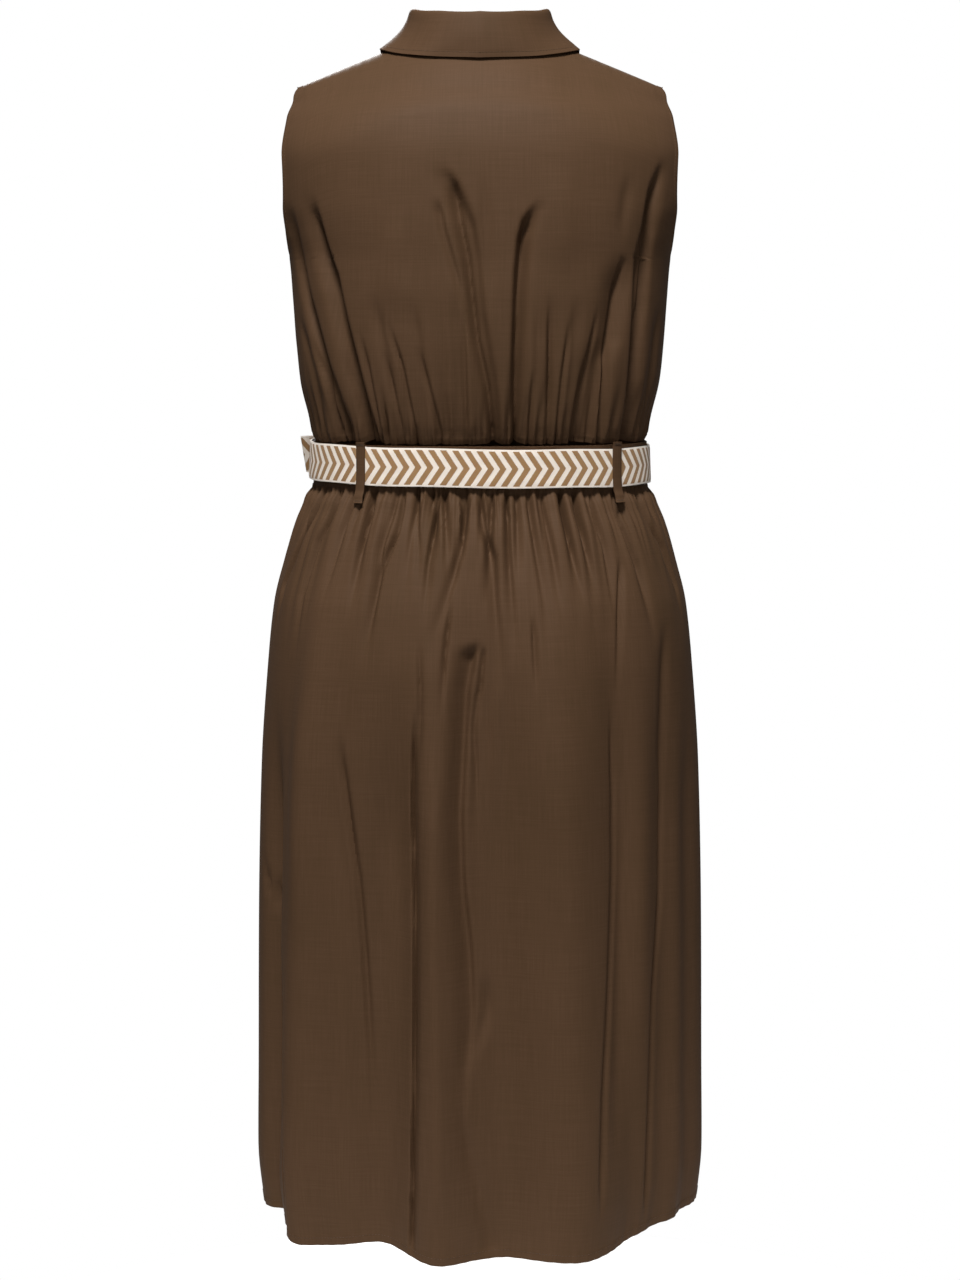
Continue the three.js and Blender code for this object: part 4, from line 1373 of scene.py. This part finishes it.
def seam_creases() -> tuple[Fold, ...]:
    """The creases from the skirt's seam, which take their sizes in turn from three short lists.

    Returns:
        The folds.
    """
    folds = []
    for index, row in enumerate(SKIRT_SEAM_CREASES):
        path = ((row[0], SEAM_HEIGHT), *zip(row[1::2], row[2::2]))
        sizes = (values[index % len(values)] for values in (SEAM_WIDTHS, SEAM_DEPTHS, SEAM_LEANS))
        folds.append(Fold(path, *sizes, (0.1, 0.8), 1.3))
    return tuple(folds)


@dataclass(frozen=True)
class SkirtPanel:
    """One panel of the skirt, gathered into the waist seam, its hem turned and stitched."""

    node: str
    start: float
    end: float
    count: int
    cut: Cut
    folds: tuple[Fold, ...]
    gathers: tuple[Gathers, ...]
    shift: tuple[float, float]
    wall: float = 0.9
    hem_depth: float = 8.0
    degree: float = 2.6
    hem_tuck: tuple[float, float, float] = (33.0, 4.5, 11.0)

    def long_folds(self, angle: Array, height: Array) -> Array:
        """How deep the long folds cut, the same as in the solids: bells 2.6 mm to a degree wide.

        Args:
            angle: Angle round the dress, in degrees.
            height: Height.

        Returns:
            Depths in millimetres.
        """
        total = np.zeros(np.broadcast(angle, height).shape)
        for upper_angle, upper, lower_angle, width, depth in LONG_FOLDS:
            t = (upper - height) / (upper - FORM.hem_height)
            middle = upper_angle + (lower_angle - upper_angle) * t
            total += depth * smooth(t * 3) * bell((angle - middle) * self.degree, width)
        return total

    def grid(self) -> tuple[Array, Array]:
        """The panel's outer face from the hem up: the smooth form moved along its normals.

        Returns:
            The grid of places and the flat map.
        """
        angle = even_arc(self.start, self.end, self.count)
        # Rows lie closer at the gathers and at the hem
        dense, sparse = np.linspace(0, 0.26, 50), np.linspace(0.26, 0.985, 48)[1:]
        share = np.concatenate([dense, sparse, np.linspace(0.985, 1, 8)[1:]])[::-1, None]
        tuck_angle, tuck_width, tuck_lift = self.hem_tuck
        hem = FORM.hem(angle) + tuck_lift * bell(angle - tuck_angle, tuck_width)
        top = FORM.skirt_seam(angle)
        height = top + share * (hem - top)
        base = FORM.skirt(angle, height)
        normal = grid_normals(base)
        arc = arc_lengths(base, 1)
        span = arc[-1, -1]
        near_side = np.minimum(np.abs(angle - self.start), np.abs(self.end - angle))
        edge = smooth(near_side / 10.5)
        cut = self.long_folds(angle, height) * edge
        for fold in self.folds:
            # A crease's path is in degrees, and its cut is worked out in millimetres across
            line = np.array(fold.path, float)
            placed = FORM.skirt(line[:, 0], line[:, 1])[:, 0]
            moved = replace(fold, path=tuple(zip(placed, line[:, 1])))
            stretch = np.clip(np.abs(np.gradient(arc, axis=1) / np.gradient(base[..., 0], axis=1)), 1, 5)
            cut = cut + moved.cut(base[..., 0], height, stretch) * smooth(near_side / 4)
        away = top - height
        seam = np.broadcast_to(arc[-1:], arc.shape)
        for gather in self.gathers:
            cut = cut + gather.cut(seam, away, span)
        flat = 1.0 if self.start >= 0 else smooth((np.abs(angle + 90) - 6) / 8)
        # The cloth draws in at the seam and swells out just under it
        drawn_in = 0.8 * (1 - smooth(away / 9)) - 1.8 * bell(away - 11, 6.5)
        # The hem: a doubled band, the groove of its stitching and a light pucker
        from_hem = height - hem
        band = 0.4 * (1 - smooth((from_hem - self.hem_depth) / 1.0))
        groove = 0.3 * bell(from_hem - self.hem_depth + 0.8, 0.7)
        hem_arc = arc[:1]
        pucker = 0.3 * np.sin(hem_arc / 1.9 + 2.2 * np.sin(hem_arc / 23)) * bell(from_hem, 13)
        side_seam = 0.5 * bell(near_side, 0.6)
        move = band - groove + pucker - cut * flat - drawn_in - side_seam
        out = base + locked(normal) * move[..., None]
        out[..., 0] += self.shift[0]
        out[..., 1] += self.shift[1]
        return out, flat_map(-arc_lengths(base[::-1], 0)[::-1], hem_arc)

    def build(self, room: Workroom) -> bpy.types.Object:
        """Makes the panel and its row of hem stitches.

        Args:
            room: The workroom that makes the objects.

        Returns:
            The object.
        """
        points, flat = self.grid()
        panel = room.wall(f"{self.node}_panel", points, flat, self.wall)
        room.declare(panel, self.cut, self.node)
        room.stitches(f"hem_stitching_{self.node}", [inset_line(points, Edge.FOOT, self.hem_depth - 0.8)])
        return panel


@dataclass(frozen=True)
class WaistCasing:
    """The elastic casing: a ring of cloth parted at the centre front and ruched fine."""

    columns: int = 560
    ripple: float = 0.8
    wall: float = 0.9
    ruche: float = 4.6
    shirring: tuple[float, float, float] = (-381.0, -393.7, -406.0)
    carrier_half: float = 4.0
    cut: Cut = Cut(1.05, 0.042, "gathered", ("back_bodice", "skirt_back"))

    def carrier(self, room: Workroom, name: str, across: float) -> bpy.types.Object:
        """Makes a carrier: a narrow strip that passes over the belt and is tacked down at both ends.

        It is under 10 mm wide, so it goes with the casing's sheet.

        Args:
            room: The workroom that makes the objects.
            name: Its name.
            across: Place across, in millimetres.

        Returns:
            The object.
        """
        reach = np.array([(-424, 4.4), (-418, 3.6), (-412, 1.8), (-391, 1.5), (-373, 1.6), (-368.5, 2.4)])
        height = np.linspace(-424, -368.5, 45)[:, None]
        out = table_value(reach, 1, height)
        x = across + np.linspace(self.carrier_half, -self.carrier_half, 13)
        belt = FORM.belt(np.array(90.0), height)[..., 1]
        half = FORM.belt(np.array(0.0), height)[..., 0]
        on_belt = belt * oval(np.abs(x) / half)
        skirt_half, skirt_back = table_value(SKIRT, 1, height), table_value(SKIRT, 2, height)
        on_skirt = skirt_back * oval(np.abs(x) / skirt_half)
        base = np.where(height < FORM.skirt_top, np.maximum(on_belt, on_skirt), on_belt)
        slope = unit(joined(x / 1.6 + 0 * height, base, 0 * base))
        bulge = 0.35 * np.cos((x - across) / self.carrier_half * np.pi / 2) - 0.1
        points = joined(x + 0 * height, base, height) + slope * (out + bulge)[..., None]
        points[..., 0] += 0.9 * smooth((-395 - height) / 29) * np.sign(across)
        flat = flat_map(arc_lengths(points, 0), x[None, :])
        strip = room.wall(f"{name}_strip", points, flat, 1.1)
        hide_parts(name)
        tacks = [inset_line(points, edge, 2.6, slice(1, -1)) for edge in (Edge.FOOT, Edge.TOP)]
        tacks += [inset_line(points, edge, 1.5, slice(2, -2)) for edge in (Edge.FOOT, Edge.TOP)]
        room.stitches(f"{name}_tacks", tacks, 1.0, 0.75, 0.22)
        return strip

    def build(self, room: Workroom) -> bpy.types.Object:
        """Makes the ring: a level superellipse with a ripple 4.6 mm long and three shirring rows.

        Args:
            room: The workroom that makes the objects.

        Returns:
            The object.
        """
        angle = np.linspace(-89.9, 269.9, self.columns + 1)
        foot, top = FORM.skirt_seam(angle) + 0.1, FORM.bodice_bottom - 0.3
        height = foot + np.linspace(0, 1, 17)[:, None] * (top - foot)
        base = FORM.waist(angle, height, 0)
        arc = arc_lengths(base, 1)
        wave = np.sin(arc * 2 * np.pi / self.ruche + 1.4 * np.sin(arc / 19))
        inner = smooth((height - foot) / 3) * smooth((FORM.bodice_bottom - height) / 3)
        rows = sum(bell(height - place, 1.2) for place in self.shirring)
        move = self.ripple * (wave - 1) * 0.5 * inner * (1 - 0.6 * rows) - 0.3 * rows
        low = Gathers(170, 1.5, 1.6, 40, 60, 71)
        move = move - low.cut(arc, height - foot, float(arc[0, -1])) * inner
        points = base + grid_normals(base) * move[..., None]
        casing = room.wall("ruched_waist_casing", points, flat_map(height, arc * 1.4), self.wall)
        carriers = (
            self.carrier(room, "belt_carrier_left", 110),
            self.carrier(room, "belt_carrier_right", -127),
        )
        return room.declare(casing, self.cut, "waist_casing", extra=carriers)


@dataclass(frozen=True)
class Collar:
    """The collar stand and the fall that is turned down over it."""

    stand_wall: float = 1.4
    fall_wall: float = 1.5
    stitch_inset: float = 4.6
    roll: tuple[tuple[float, float], ...] = ((0, 1.2), (0.6, 3.6), (2.6, 4.4), (5, 2.4))
    stand_cut: Cut = Cut(0.5, 0.032, "folded", ("back_bodice",))
    fall_cut: Cut = Cut(0.56, 0.07, "folded", ("collar_stand",))

    def stand(self, room: Workroom) -> bpy.types.Object:
        """Makes the stand: a band that leans inward from the neckline, its under end tucked in.

        Args:
            room: The workroom that makes the objects.

        Returns:
            The object.
        """
        angle = np.linspace(-100, 280, 241)
        share = np.linspace(0, 1, 13)[:, None]
        middle = FORM.stand(angle + 0 * share, share + 0 * angle)
        normal = grid_normals(middle)
        points = middle + normal * self.stand_wall / 2
        flat = flat_map(arc_lengths(middle, 0), arc_lengths(middle, 1)[6:7])
        stand = room.wall("collar_stand_band", points, flat, self.stand_wall)
        room.declare(stand, self.stand_cut, "collar_stand")
        return stand

    def fall_grid(self) -> Array:
        """The middle of the fall's cloth from its edge up, over its fold and down inside the stand.

        Its control rows are the solid's: four over the fold, then a straight run to the edge that
        bulges as a half sine. A cubic runs through them.

        Returns:
            Rows by columns of places.
        """
        angle = np.linspace(-88, 268, 241)
        top = FORM.stand(angle, np.ones_like(angle))
        radial = unit(top * [1, 1, 0])
        up = np.array([0, 0, 1.0])
        rolled = [top + radial * out + up * rise for out, rise in self.roll]
        side = np.where(np.sin(np.radians(angle)) >= 0, 1, -1)
        across = np.where(angle > 90, -1, 1) * collar_value(angle, 4)
        height = np.minimum(collar_value(angle, 5), FORM.ridge(across) - 0.2)
        edge = joined(across, FORM.bodice_depth(across, height, side), height)
        proud = 4.2 - 1.6 * smooth((np.sin(np.radians(angle)) + 0.2) / 0.5)
        edge = edge + proud[:, None] * unit(joined(0.4 * across, 1.6 * edge[..., 1], 40 + 0 * across))
        rows = list(rolled)
        for share in (0.25, 0.5, 0.75, 1):
            bulge = collar_value(angle, 3) * math.sin(math.pi * share)
            rows.append(rolled[3] * (1 - share) + edge * share + radial * bulge[:, None])
        return np.array(rows[::-1])

    def fall(self, room: Workroom) -> bpy.types.Object:
        """Makes the fall and its edge stitching.

        Args:
            room: The workroom that makes the objects.

        Returns:
            The object.
        """
        middle = hermite(self.fall_grid(), 43)
        arc, down = arc_lengths(middle, 1), arc_lengths(middle, 0)
        lift = 0.35 * np.sin(arc / 11 + 1.3 * np.sin(arc / 37)) * bell(down, 12)
        groove = 0.22 * bell(down - self.stitch_inset, 0.6)
        points = middle + grid_normals(middle) * (self.fall_wall / 2 + lift - groove)[..., None]
        fall = room.wall("collar_fall_leaf", points, flat_map(down, arc[20:21]), self.fall_wall)
        room.declare(fall, self.fall_cut, "collar_fall")
        line = inset_line(points, Edge.FOOT, self.stitch_inset, slice(5, -5))
        near, inset = points[:26], self.stitch_inset
        ends = [inset_line(near, edge, inset, slice(3, None)) for edge in (Edge.START, Edge.END)]
        room.stitches("collar_edge_stitching", [line, *ends])
        return fall

    def build(self, room: Workroom) -> None:
        """Makes both parts."""
        self.stand(room)
        self.fall(room)


@dataclass(frozen=True)
class ButtonPlacket:
    """The strip that carries the buttons and buttonholes, from the neckline to the hem."""

    half_width: float = 15.0
    clearance: float = 2.2
    stitch_inset: float = 2.2
    wall: float = 1.1
    cut: Cut = Cut(0.03, 1.06, "hung", ("front_bodice_left", "front_bodice_right"))

    def depth(self, across: Array, height: Array) -> Array:
        """Depth of the fronts below it: the bodice, the waist ring or the skirt by height.

        Args:
            across: Place across, in millimetres.
            height: Height.

        Returns:
            Depths.
        """
        bodice = FORM.bodice_depth(across, height, -1)
        angle = -np.degrees(np.arccos(across / FORM.waist_half))
        waist = FORM.waist(angle, height, 1.5)[..., 1]
        half, front = table_value(SKIRT, 1, height), table_value(SKIRT, 3, height)
        skirt = -front * oval(np.abs(across) / half)
        return np.where(height > FORM.bodice_bottom, bodice, np.where(height > FORM.skirt_top, waist, skirt))

    def grid(self) -> Array:
        """The strip's outer face from the hem up, eased over the steps at the waist.

        Returns:
            The strip's outer face.
        """
        across = np.linspace(-self.half_width, self.half_width, 27)
        top = FORM.neck_height(across, -1) - 2.5
        foot = FORM.hem(np.array(-90.0))
        share = np.linspace(0, 1, 270)[:, None]
        height = foot + share * (top - foot)
        depth = self.depth(across + 0 * height, height)
        eased = depth.copy()
        for _ in range(3):
            eased[2:-2] = (eased[:-4] + eased[1:-3] + eased[2:-2] + eased[3:-1] + eased[4:]) / 5
        depth = np.minimum(depth, eased)
        from_edge = self.half_width - np.abs(across)
        groove = 0.25 * bell(from_edge - self.stitch_inset, 0.5)
        pucker = 0.16 * np.sin(height / 3.1 + 2 * np.sin(height / 29)) * bell(from_edge - 3, 4)
        return joined(across, depth - self.clearance + groove + pucker, height)

    def build(self, room: Workroom) -> Array:
        """Makes the strip and its two rows of stitches, and returns its outer face.

        Args:
            room: The workroom that makes the objects.

        Returns:
            The strip's outer face.
        """
        points = self.grid()
        flat = flat_map(arc_lengths(points, 0), arc_lengths(points, 1)[130:131])
        strip = room.wall("front_button_placket", points, flat, self.wall)
        room.declare(strip, self.cut, "button_placket")
        lines = [inset_line(points, edge, self.stitch_inset, slice(2, -2)) for edge in (Edge.START, Edge.END)]
        room.stitches("placket_stitching", lines)
        return points


@dataclass(frozen=True)
class ShirtButtons:
    """Twelve four-hole shirt buttons, their thread and the buttonholes under them."""

    radius: float = 5.7
    rise: float = 2.6
    hole_offset: float = 1.15
    hole_radius: float = 0.62
    count: int = 12

    def disc(self) -> tuple[Array, Array]:
        """One button's upper and lower faces, its axis along +Z.

        A square grid is drawn out to a disc. The upper face dips inside a round rim, and four bells
        raised to the fourth power sink the holes.

        Returns:
            The upper and the lower face.
        """
        line = np.sin(np.linspace(-np.pi / 2, np.pi / 2, 31))
        x, y = np.meshgrid(line, line)
        across, up = x * np.sqrt(1 - y * y / 2) * self.radius, y * np.sqrt(1 - x * x / 2) * self.radius
        far = np.hypot(across, up)
        body = self.rise - 0.75 + 0.75 * bell(far - 4.5, 0.75)
        edge = 1.1 * smooth((far - 4.9) / 0.8)
        holes = 0
        for sx in (-1, 1):
            for sy in (-1, 1):
                off = np.hypot(across - sx * self.hole_offset, up - sy * self.hole_offset)
                holes = holes + np.exp(-((off / self.hole_radius) ** 4))
        upper = joined(across, up, body - edge - 1.2 * holes)
        lower = joined(across * 0.93, up * 0.93, 0.25 * smooth((far - 4.6) / 1.1))
        return upper, lower

    def build(self, room: Workroom, placket: Array) -> None:
        """Seats each button where its solid is, square to the placket, and sews it on.

        Args:
            room: The workroom that makes the objects.
            placket: The placket's outer face.
        """
        upper, lower = self.disc()
        threads, holes = [], []
        middle = placket[:, placket.shape[1] // 2]
        slope = unit(np.gradient(middle, axis=0))
        for number in range(1, self.count + 1):
            node = f"button_{number:02d}"
            low, high = (np.array(corner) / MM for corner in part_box(node))
            centre = (low + high) / 2
            nearest = int(np.argmin(np.abs(middle[:, 2] - centre[2])))
            up = slope[nearest] if number > 1 else unit(np.array([0, -0.22, 1.0]) * [1, -1, 1])
            out = unit(np.cross([1.0, 0, 0], up))
            across = np.array([1.0, 0, 0])
            axes = np.stack([across, up, out])
            seat = centre - out * self.rise / 2
            faces = [part @ axes + seat for part in (upper, lower)]
            flat = flat_map(upper[..., 1], upper[..., 0])
            button = room.wall(f"shirt_{node}", faces[0], flat, faces[1], "resin", Finish.BUTTONS)
            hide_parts(node)
            raised = seat + out * (self.rise - 0.75)
            for side in (-1, 1):
                run = raised + side * self.hole_offset * across
                ends = np.stack([run - up * self.hole_offset, run, run + up * self.hole_offset])
                threads.append((ends, np.stack([out] * 3)))
            if number > 1:
                for side in (-1, 1):
                    ends = np.stack([centre + up * t + side * 0.7 * across for t in (-7.4, 0, 7.4)])
                    ends[:, 1] = np.interp(ends[:, 2], middle[:, 2], middle[:, 1]) - 0.05
                    holes.append((ends, np.stack([out] * 3)))
        room.stitches("button_thread", threads, 2.9, 2.3, 0.28)
        room.stitches("buttonhole_stitching", holes, 0.9, 0.55, 0.32)


@dataclass(frozen=True)
class Belt:
    """The chevron tape round the waist, and the bow it is tied in at the wearer's left front."""

    tape_width: float = 35.5
    wall: float = 1.5
    bow_angle: float = -48.0
    knot_half: tuple[float, float, float] = (15.0, 7.0, 20.0)
    loop_length: float = 61.0
    loop_swell: float = 18.0
    loop_pinch: float = 10.0
    tail_pinch: float = 11.0
    tail_hem: float = 8.4

    def band(self, room: Workroom) -> None:
        """Makes the belt: a closed ring whose face follows the waist with a slight waver.

        Args:
            room: The workroom that makes the objects.
        """
        angle = even_arc(0, 360, 540)[:-1]
        share = np.linspace(-0.5, 0.5, 13)[:, None]
        height = FORM.belt_centre(angle) + share * self.tape_width
        waver = 0.4 * np.sin(np.radians(angle * 7 + 40)) + 0.25 * np.sin(np.radians(angle * 17))
        height = height + 0.35 * np.sin(np.radians(angle * 9 + 110))
        points = FORM.belt(angle, height)
        rounded = 0.35 * smooth((np.abs(share) - 0.46) / 0.04)
        points = points + grid_normals(points, True) * (waver * 0.5 - rounded)[..., None]
        ring = np.concatenate([points, points[:, :1]], axis=1)
        flat = flat_map(share * self.tape_width, arc_lengths(ring, 1)[6:7])
        piece = room.wall("chevron_belt", points, flat, self.wall, "tape", Finish.TAPE, wrap=True)
        length = float(arc_lengths(ring, 1)[6, -1]) * MM
        cut = Cut(self.tape_width * MM, length, "stretched", ("belt_carrier_left", "belt_carrier_right"))
        room.declare(piece, cut, "belt_band")

    def place(self, length: Array, depth: Array, height: Array) -> Array:
        """Places measured from the bow's seat: along the belt, out of it and up.

        Args:
            length: Millimetres along.
            depth: Millimetres outward.
            height: Height.

        Returns:
            Places.
        """
        seat = FORM.belt(np.array(self.bow_angle), FORM.belt_centre(np.array(self.bow_angle)))
        ahead = FORM.belt(np.array(self.bow_angle + 2), FORM.belt_centre(np.array(self.bow_angle)))
        along = unit((ahead - seat) * [1, 1, 0])
        out = np.array([along[1], -along[0], 0])
        return seat + joined(length, depth, height) @ np.stack([along, out, [0, 0, 1.0]])

    def knot(self, room: Workroom) -> None:
        """Makes the knot: the tape folded over itself, a pillow with three slanting pleats.

        Its depth is 14 mm times the fourth-power falls to its sides and ends, less the pleats.

        Args:
            room: The workroom that makes the objects.
        """
        half_length, half_depth, half_height = self.knot_half
        a = np.linspace(-1, 1, 41)[None, :]
        b = np.linspace(-1, 1, 49)[:, None]
        length = a * half_length * (1 - 0.16 * b * b + 0.05 * b)
        height = b * half_height * (1 - 0.14 * a * a)
        fall = np.clip(1 - np.abs(a) ** 2.6, 0, 1) ** 0.55 * np.clip(1 - np.abs(b) ** 3.2, 0, 1) ** 0.5
        pleats = sum(
            depth * bell(a - 0.28 * b - place, 0.1)
            for place, depth in ((-0.42, 1.5), (0.1, 1.1), (0.52, 1.6))
        )
        outer = self.place(length, 0.5 + 2 * half_depth * fall - pleats * fall, height)
        inner = self.place(length * 0.96, 0.45 + 0 * fall, height * 0.96)
        flat = flat_map(length * 1.15, height * 1.5)
        piece = room.wall("bow_knot", outer, flat, inner, "tape", Finish.TAPE)
        cut = Cut(self.tape_width * MM, 0.044, "folded", ("chevron_belt",))
        room.declare(piece, cut, "belt_knot")

    def loop(self, room: Workroom) -> None:
        """Makes the bow's loop: the tape runs out, turns back on itself and returns to the knot.

        Args:
            room: The workroom that makes the objects.
        """
        turn = np.radians(np.linspace(14, 346, 121))
        share = (1 - np.cos(turn)) / 2
        swell = self.loop_swell / 2 * np.sin(turn) * share**0.35
        half_tape = self.loop_pinch + (self.tape_width / 2 - self.loop_pinch) * smooth(share * 3)
        side = np.linspace(-1, 1, 15)[:, None]
        start, out = self.knot_half[0] - 0.3, self.knot_half[1] + 2 + swell * 0.9
        pinch = 0.5 * np.sin(side * 7) * (1 - smooth(share * 2.2))
        length = start + (self.loop_length - start) * share * (1 + 0.07 * side)
        points = self.place(length, out + pinch, side * half_tape)
        along = arc_lengths(points, 1)[7:8]
        flat = flat_map(side * self.tape_width / 2, along)
        points = points + grid_normals(points) * self.wall / 2
        piece = room.wall("bow_loop", points, flat, self.wall, "tape", Finish.TAPE)
        length = float(along[0, -1]) * MM
        room.declare(piece, Cut(self.tape_width * MM, length, "folded", ("belt_knot",)), "belt_bow_loop")

    def tail(self, room: Workroom, name: str, drift: float, length: float, layer: float) -> None:
        """Makes a tail that hangs from the knot over the skirt, its end turned under.

        Args:
            room: The workroom that makes the objects.
            name: Its name.
            drift: Degrees it moves aside by its end.
            length: How far it falls, in millimetres.
            layer: Millimetres it lies off the skirt.
        """
        fallen = np.linspace(0, length, 13)[:, None]
        height = FORM.belt_centre(np.array(self.bow_angle)) - self.knot_half[2] - 0.4 - fallen
        half_width = self.tail_pinch + (self.tape_width / 2 - self.tail_pinch) * smooth(fallen / 40)
        side = np.linspace(-1, 1, 3)
        angle = self.bow_angle + drift * fallen / length + side * half_width / 2.75
        out = unit(joined(np.cos(np.radians(angle)), np.sin(np.radians(angle)) * 1.25, 0 * angle))
        level = height + 0 * angle
        hanging = FORM.skirt(angle, np.minimum(level, -432)) + out * layer
        hanging[..., 2] = level
        start = FORM.belt(angle, level) + out * (layer + 1.5)
        blend = smooth(fallen / 24)[..., None]
        control = (start * (1 - blend) + hanging * blend)[::-1]
        points = refined(control, 150, 17)
        down = arc_lengths(points, 0)
        across = arc_lengths(points, 1)
        ends = 0.5 * (1 - smooth((down - 9) / 1.2)) - 0.3 * bell(down - self.tail_hem, 0.6)
        waver = 0.6 * np.sin(down / 33 + drift) * smooth(down / 30)
        points = points + grid_normals(points) * (self.wall / 2 + ends + waver)[..., None]
        middle = across - across[:, -1:] / 2
        flat = flat_map(middle * self.tape_width / across[:, -1:], down)
        piece = room.wall(f"{name}_tape", points, flat, self.wall, "tape", Finish.TAPE)
        rests = ("belt_knot", "skirt_front_left")
        room.declare(piece, Cut(self.tape_width * MM, float(down[-1, 8]) * MM, "hung", rests), name)
        room.stitches(f"{name}_hem", [inset_line(points, Edge.FOOT, self.tail_hem, slice(1, -1))])

    def build(self, room: Workroom) -> None:
        """Makes every part of the belt.

        Args:
            room: The workroom that makes the objects.
        """
        self.band(room)
        self.knot(room)
        self.loop(room)
        self.tail(room, "belt_tail_upper", 7, 250, 6.6)
        self.tail(room, "belt_tail_lower", -7, 290, 4.2)


def bodice() -> list[BodicePanel]:
    """The bodice's three panels.

    Returns:
        The panels, the back one first.
    """
    back_cut = Cut(0.56, 0.4, "gathered", ("collar_stand",), 0.19)
    back_gathers = (Gathers(92, 5.6, 1.8, 16, 84, 11), Gathers(42, 5.6, 2.3, 44, 140, 12))
    back_folds = creases(BODICE_BACK_CREASES)
    panels = [BodicePanel("back_bodice", 1, 0, back_cut, back_folds, back_gathers, (0, SEAM_GAP))]
    front_cut = Cut(0.28, 0.4, "gathered", ("collar_stand",), 0.085)
    fronts = (("left", -90, BODICE_LEFT_CREASES, 21, 0.15), ("right", -180, BODICE_RIGHT_CREASES, 31, -0.15))
    for hand, start, table, seed, shift in fronts:
        gathers = (Gathers(46, 5.6, 1.8, 16, 84, seed), Gathers(21, 5.6, 2.3, 44, 140, seed + 1))
        node, moved = f"front_bodice_{hand}", (shift, -SEAM_GAP)
        panels.append(BodicePanel(node, -1, start, front_cut, creases(table), gathers, moved, 80, 44))
    return panels


def skirt() -> list[SkirtPanel]:
    """The skirt's three panels.

    Returns:
        Places.
    """
    back_cut = Cut(0.72, 0.735, "gathered", ("waist_casing",))
    back_folds = creases(SKIRT_CENTRE_CREASES) + seam_creases() + creases(SKIRT_LONG_CREASES)
    back_gathers = (Gathers(98, 4.8, 1.4, 16, 90, 41, 0.6), Gathers(46, 5.2, 2.0, 50, 170, 42, 0.6))
    panels = [SkirtPanel("skirt_back", 0, 180, 400, back_cut, back_folds, back_gathers, (0, SEAM_GAP))]
    front_cut = Cut(0.36, 0.735, "gathered", ("waist_casing",))
    fronts = (("left", -90, SKIRT_LEFT_CREASES, 51, 0.15), ("right", -180, SKIRT_RIGHT_CREASES, 61, -0.15))
    for hand, start, table, seed, shift in fronts:
        gathers = (Gathers(49, 4.8, 1.4, 16, 90, seed, 0.6), Gathers(23, 5.2, 2.0, 50, 170, seed + 1, 0.6))
        node, moved = f"skirt_front_{hand}", (shift, -SEAM_GAP)
        panels.append(SkirtPanel(node, start, start + 90, 200, front_cut, creases(table), gathers, moved))
    return panels


@dataclass(frozen=True)
class Studio:
    """The camera, the lights and a plain pale floor."""

    lens: float = 75.4
    camera: tuple[float, float, float] = (0.0, 2.5806, -0.2473)
    target: tuple[float, float, float] = (0.0, 0.0, -0.5642)
    floor: float = -1.42
    floor_radius: float = 0.75
    world: float = 0.155
    lamps: tuple[tuple[str, tuple[float, float, float], float, float], ...] = (
        ("key_softbox", (0.45, 2.45, 4.1), 1.4, 352),
        ("fill_softbox", (-0.6, 4.5, 0.6), 2.0, 16),
        ("front_softbox", (0.4, -4.2, 1.5), 1.6, 185),
    )

    def aim(self, thing: bpy.types.Object, place: tuple, target: tuple) -> None:
        """Puts a lamp or camera in its place and turns it to a target."""
        thing.location = place
        thing.rotation_euler = (Vector(target) - Vector(place)).to_track_quat("-Z", "Y").to_euler()

    def light(self, name: str, place: tuple, size: float, power: float) -> None:
        """Adds a soft box that faces the middle of the dress.

        Args:
            name: Its name.
            place: Where it stands, in metres.
            size: Its width in metres.
            power: Its power in watts.
        """
        data = bpy.data.lights.new(name, "AREA")
        data.shape, data.size, data.energy = "DISK", size, power
        lamp = new_object(name, data)
        self.aim(lamp, place, (0, 0, -0.5))
        lamp.visible_camera = False

    def backdrop(self) -> None:
        """Sets a dim world that lights the dress softly and shows plain white behind it."""
        world = bpy.data.worlds.new("studio_white")
        bpy.context.scene.world = world
        world.use_nodes = True
        tree = world.node_tree
        tree.nodes.clear()
        seen = add_node(tree, "ShaderNodeLightPath").outputs["Is Camera Ray"]
        strength = add_node(tree, "ShaderNodeMapRange", {"Value": seen, "To Min": self.world, "To Max": 1.0})
        glow = {"Strength": strength.outputs[0], "Color": (1, 1, 1, 1)}
        white = add_node(tree, "ShaderNodeBackground", glow)
        add_node(tree, "ShaderNodeOutputWorld", {"Surface": white.outputs[0]})

    def ground(self) -> None:
        """Lays a round pale floor, matt painted board, bright enough to meet the backdrop."""
        material, _ = new_material("pale_painted_board")
        paint = {"Base Color": linear("#d9d8d6"), "Roughness": 0.9}
        finished(material, {**paint, "Emission Strength": 0.62, "Emission Color": (1, 1, 1, 1)})
        turn = np.linspace(0, 2 * np.pi, 97)[:-1]
        rim = joined(np.cos(turn) * self.floor_radius, np.sin(turn) * self.floor_radius, self.floor)
        mesh = bpy.data.meshes.new("studio_floor")
        mesh.from_pydata(rim, [], [list(range(len(rim)))])
        mesh.materials.append(material)
        floor = new_object("studio_floor", mesh)

    def build(self) -> None:
        """Sets up the whole studio."""
        data = bpy.data.cameras.new("camera")
        data.lens, data.sensor_width = self.lens, 36.0
        camera = new_object("camera", data)
        self.aim(camera, self.camera, self.target)
        bpy.context.scene.camera = camera
        for name, place, size, power in self.lamps:
            self.light(name, place, size, power)
        self.backdrop()
        self.ground()
        bpy.context.scene.view_settings.view_transform = "Standard"


def main() -> None:
    """Sets up the studio, then sews the dress piece by piece."""
    logging.basicConfig(level=logging.INFO, format="%(message)s")
    Studio().build()
    room = Workroom()
    for panel in [*bodice(), *skirt()]:
        panel.build(room)
    WaistCasing().build(room)
    Collar().build(room)
    strip = ButtonPlacket().build(room)
    ShirtButtons().build(room, strip)
    Belt().build(room)
    LOG.info("%d pieces", room.count)


if __name__ == "__main__":
    main()
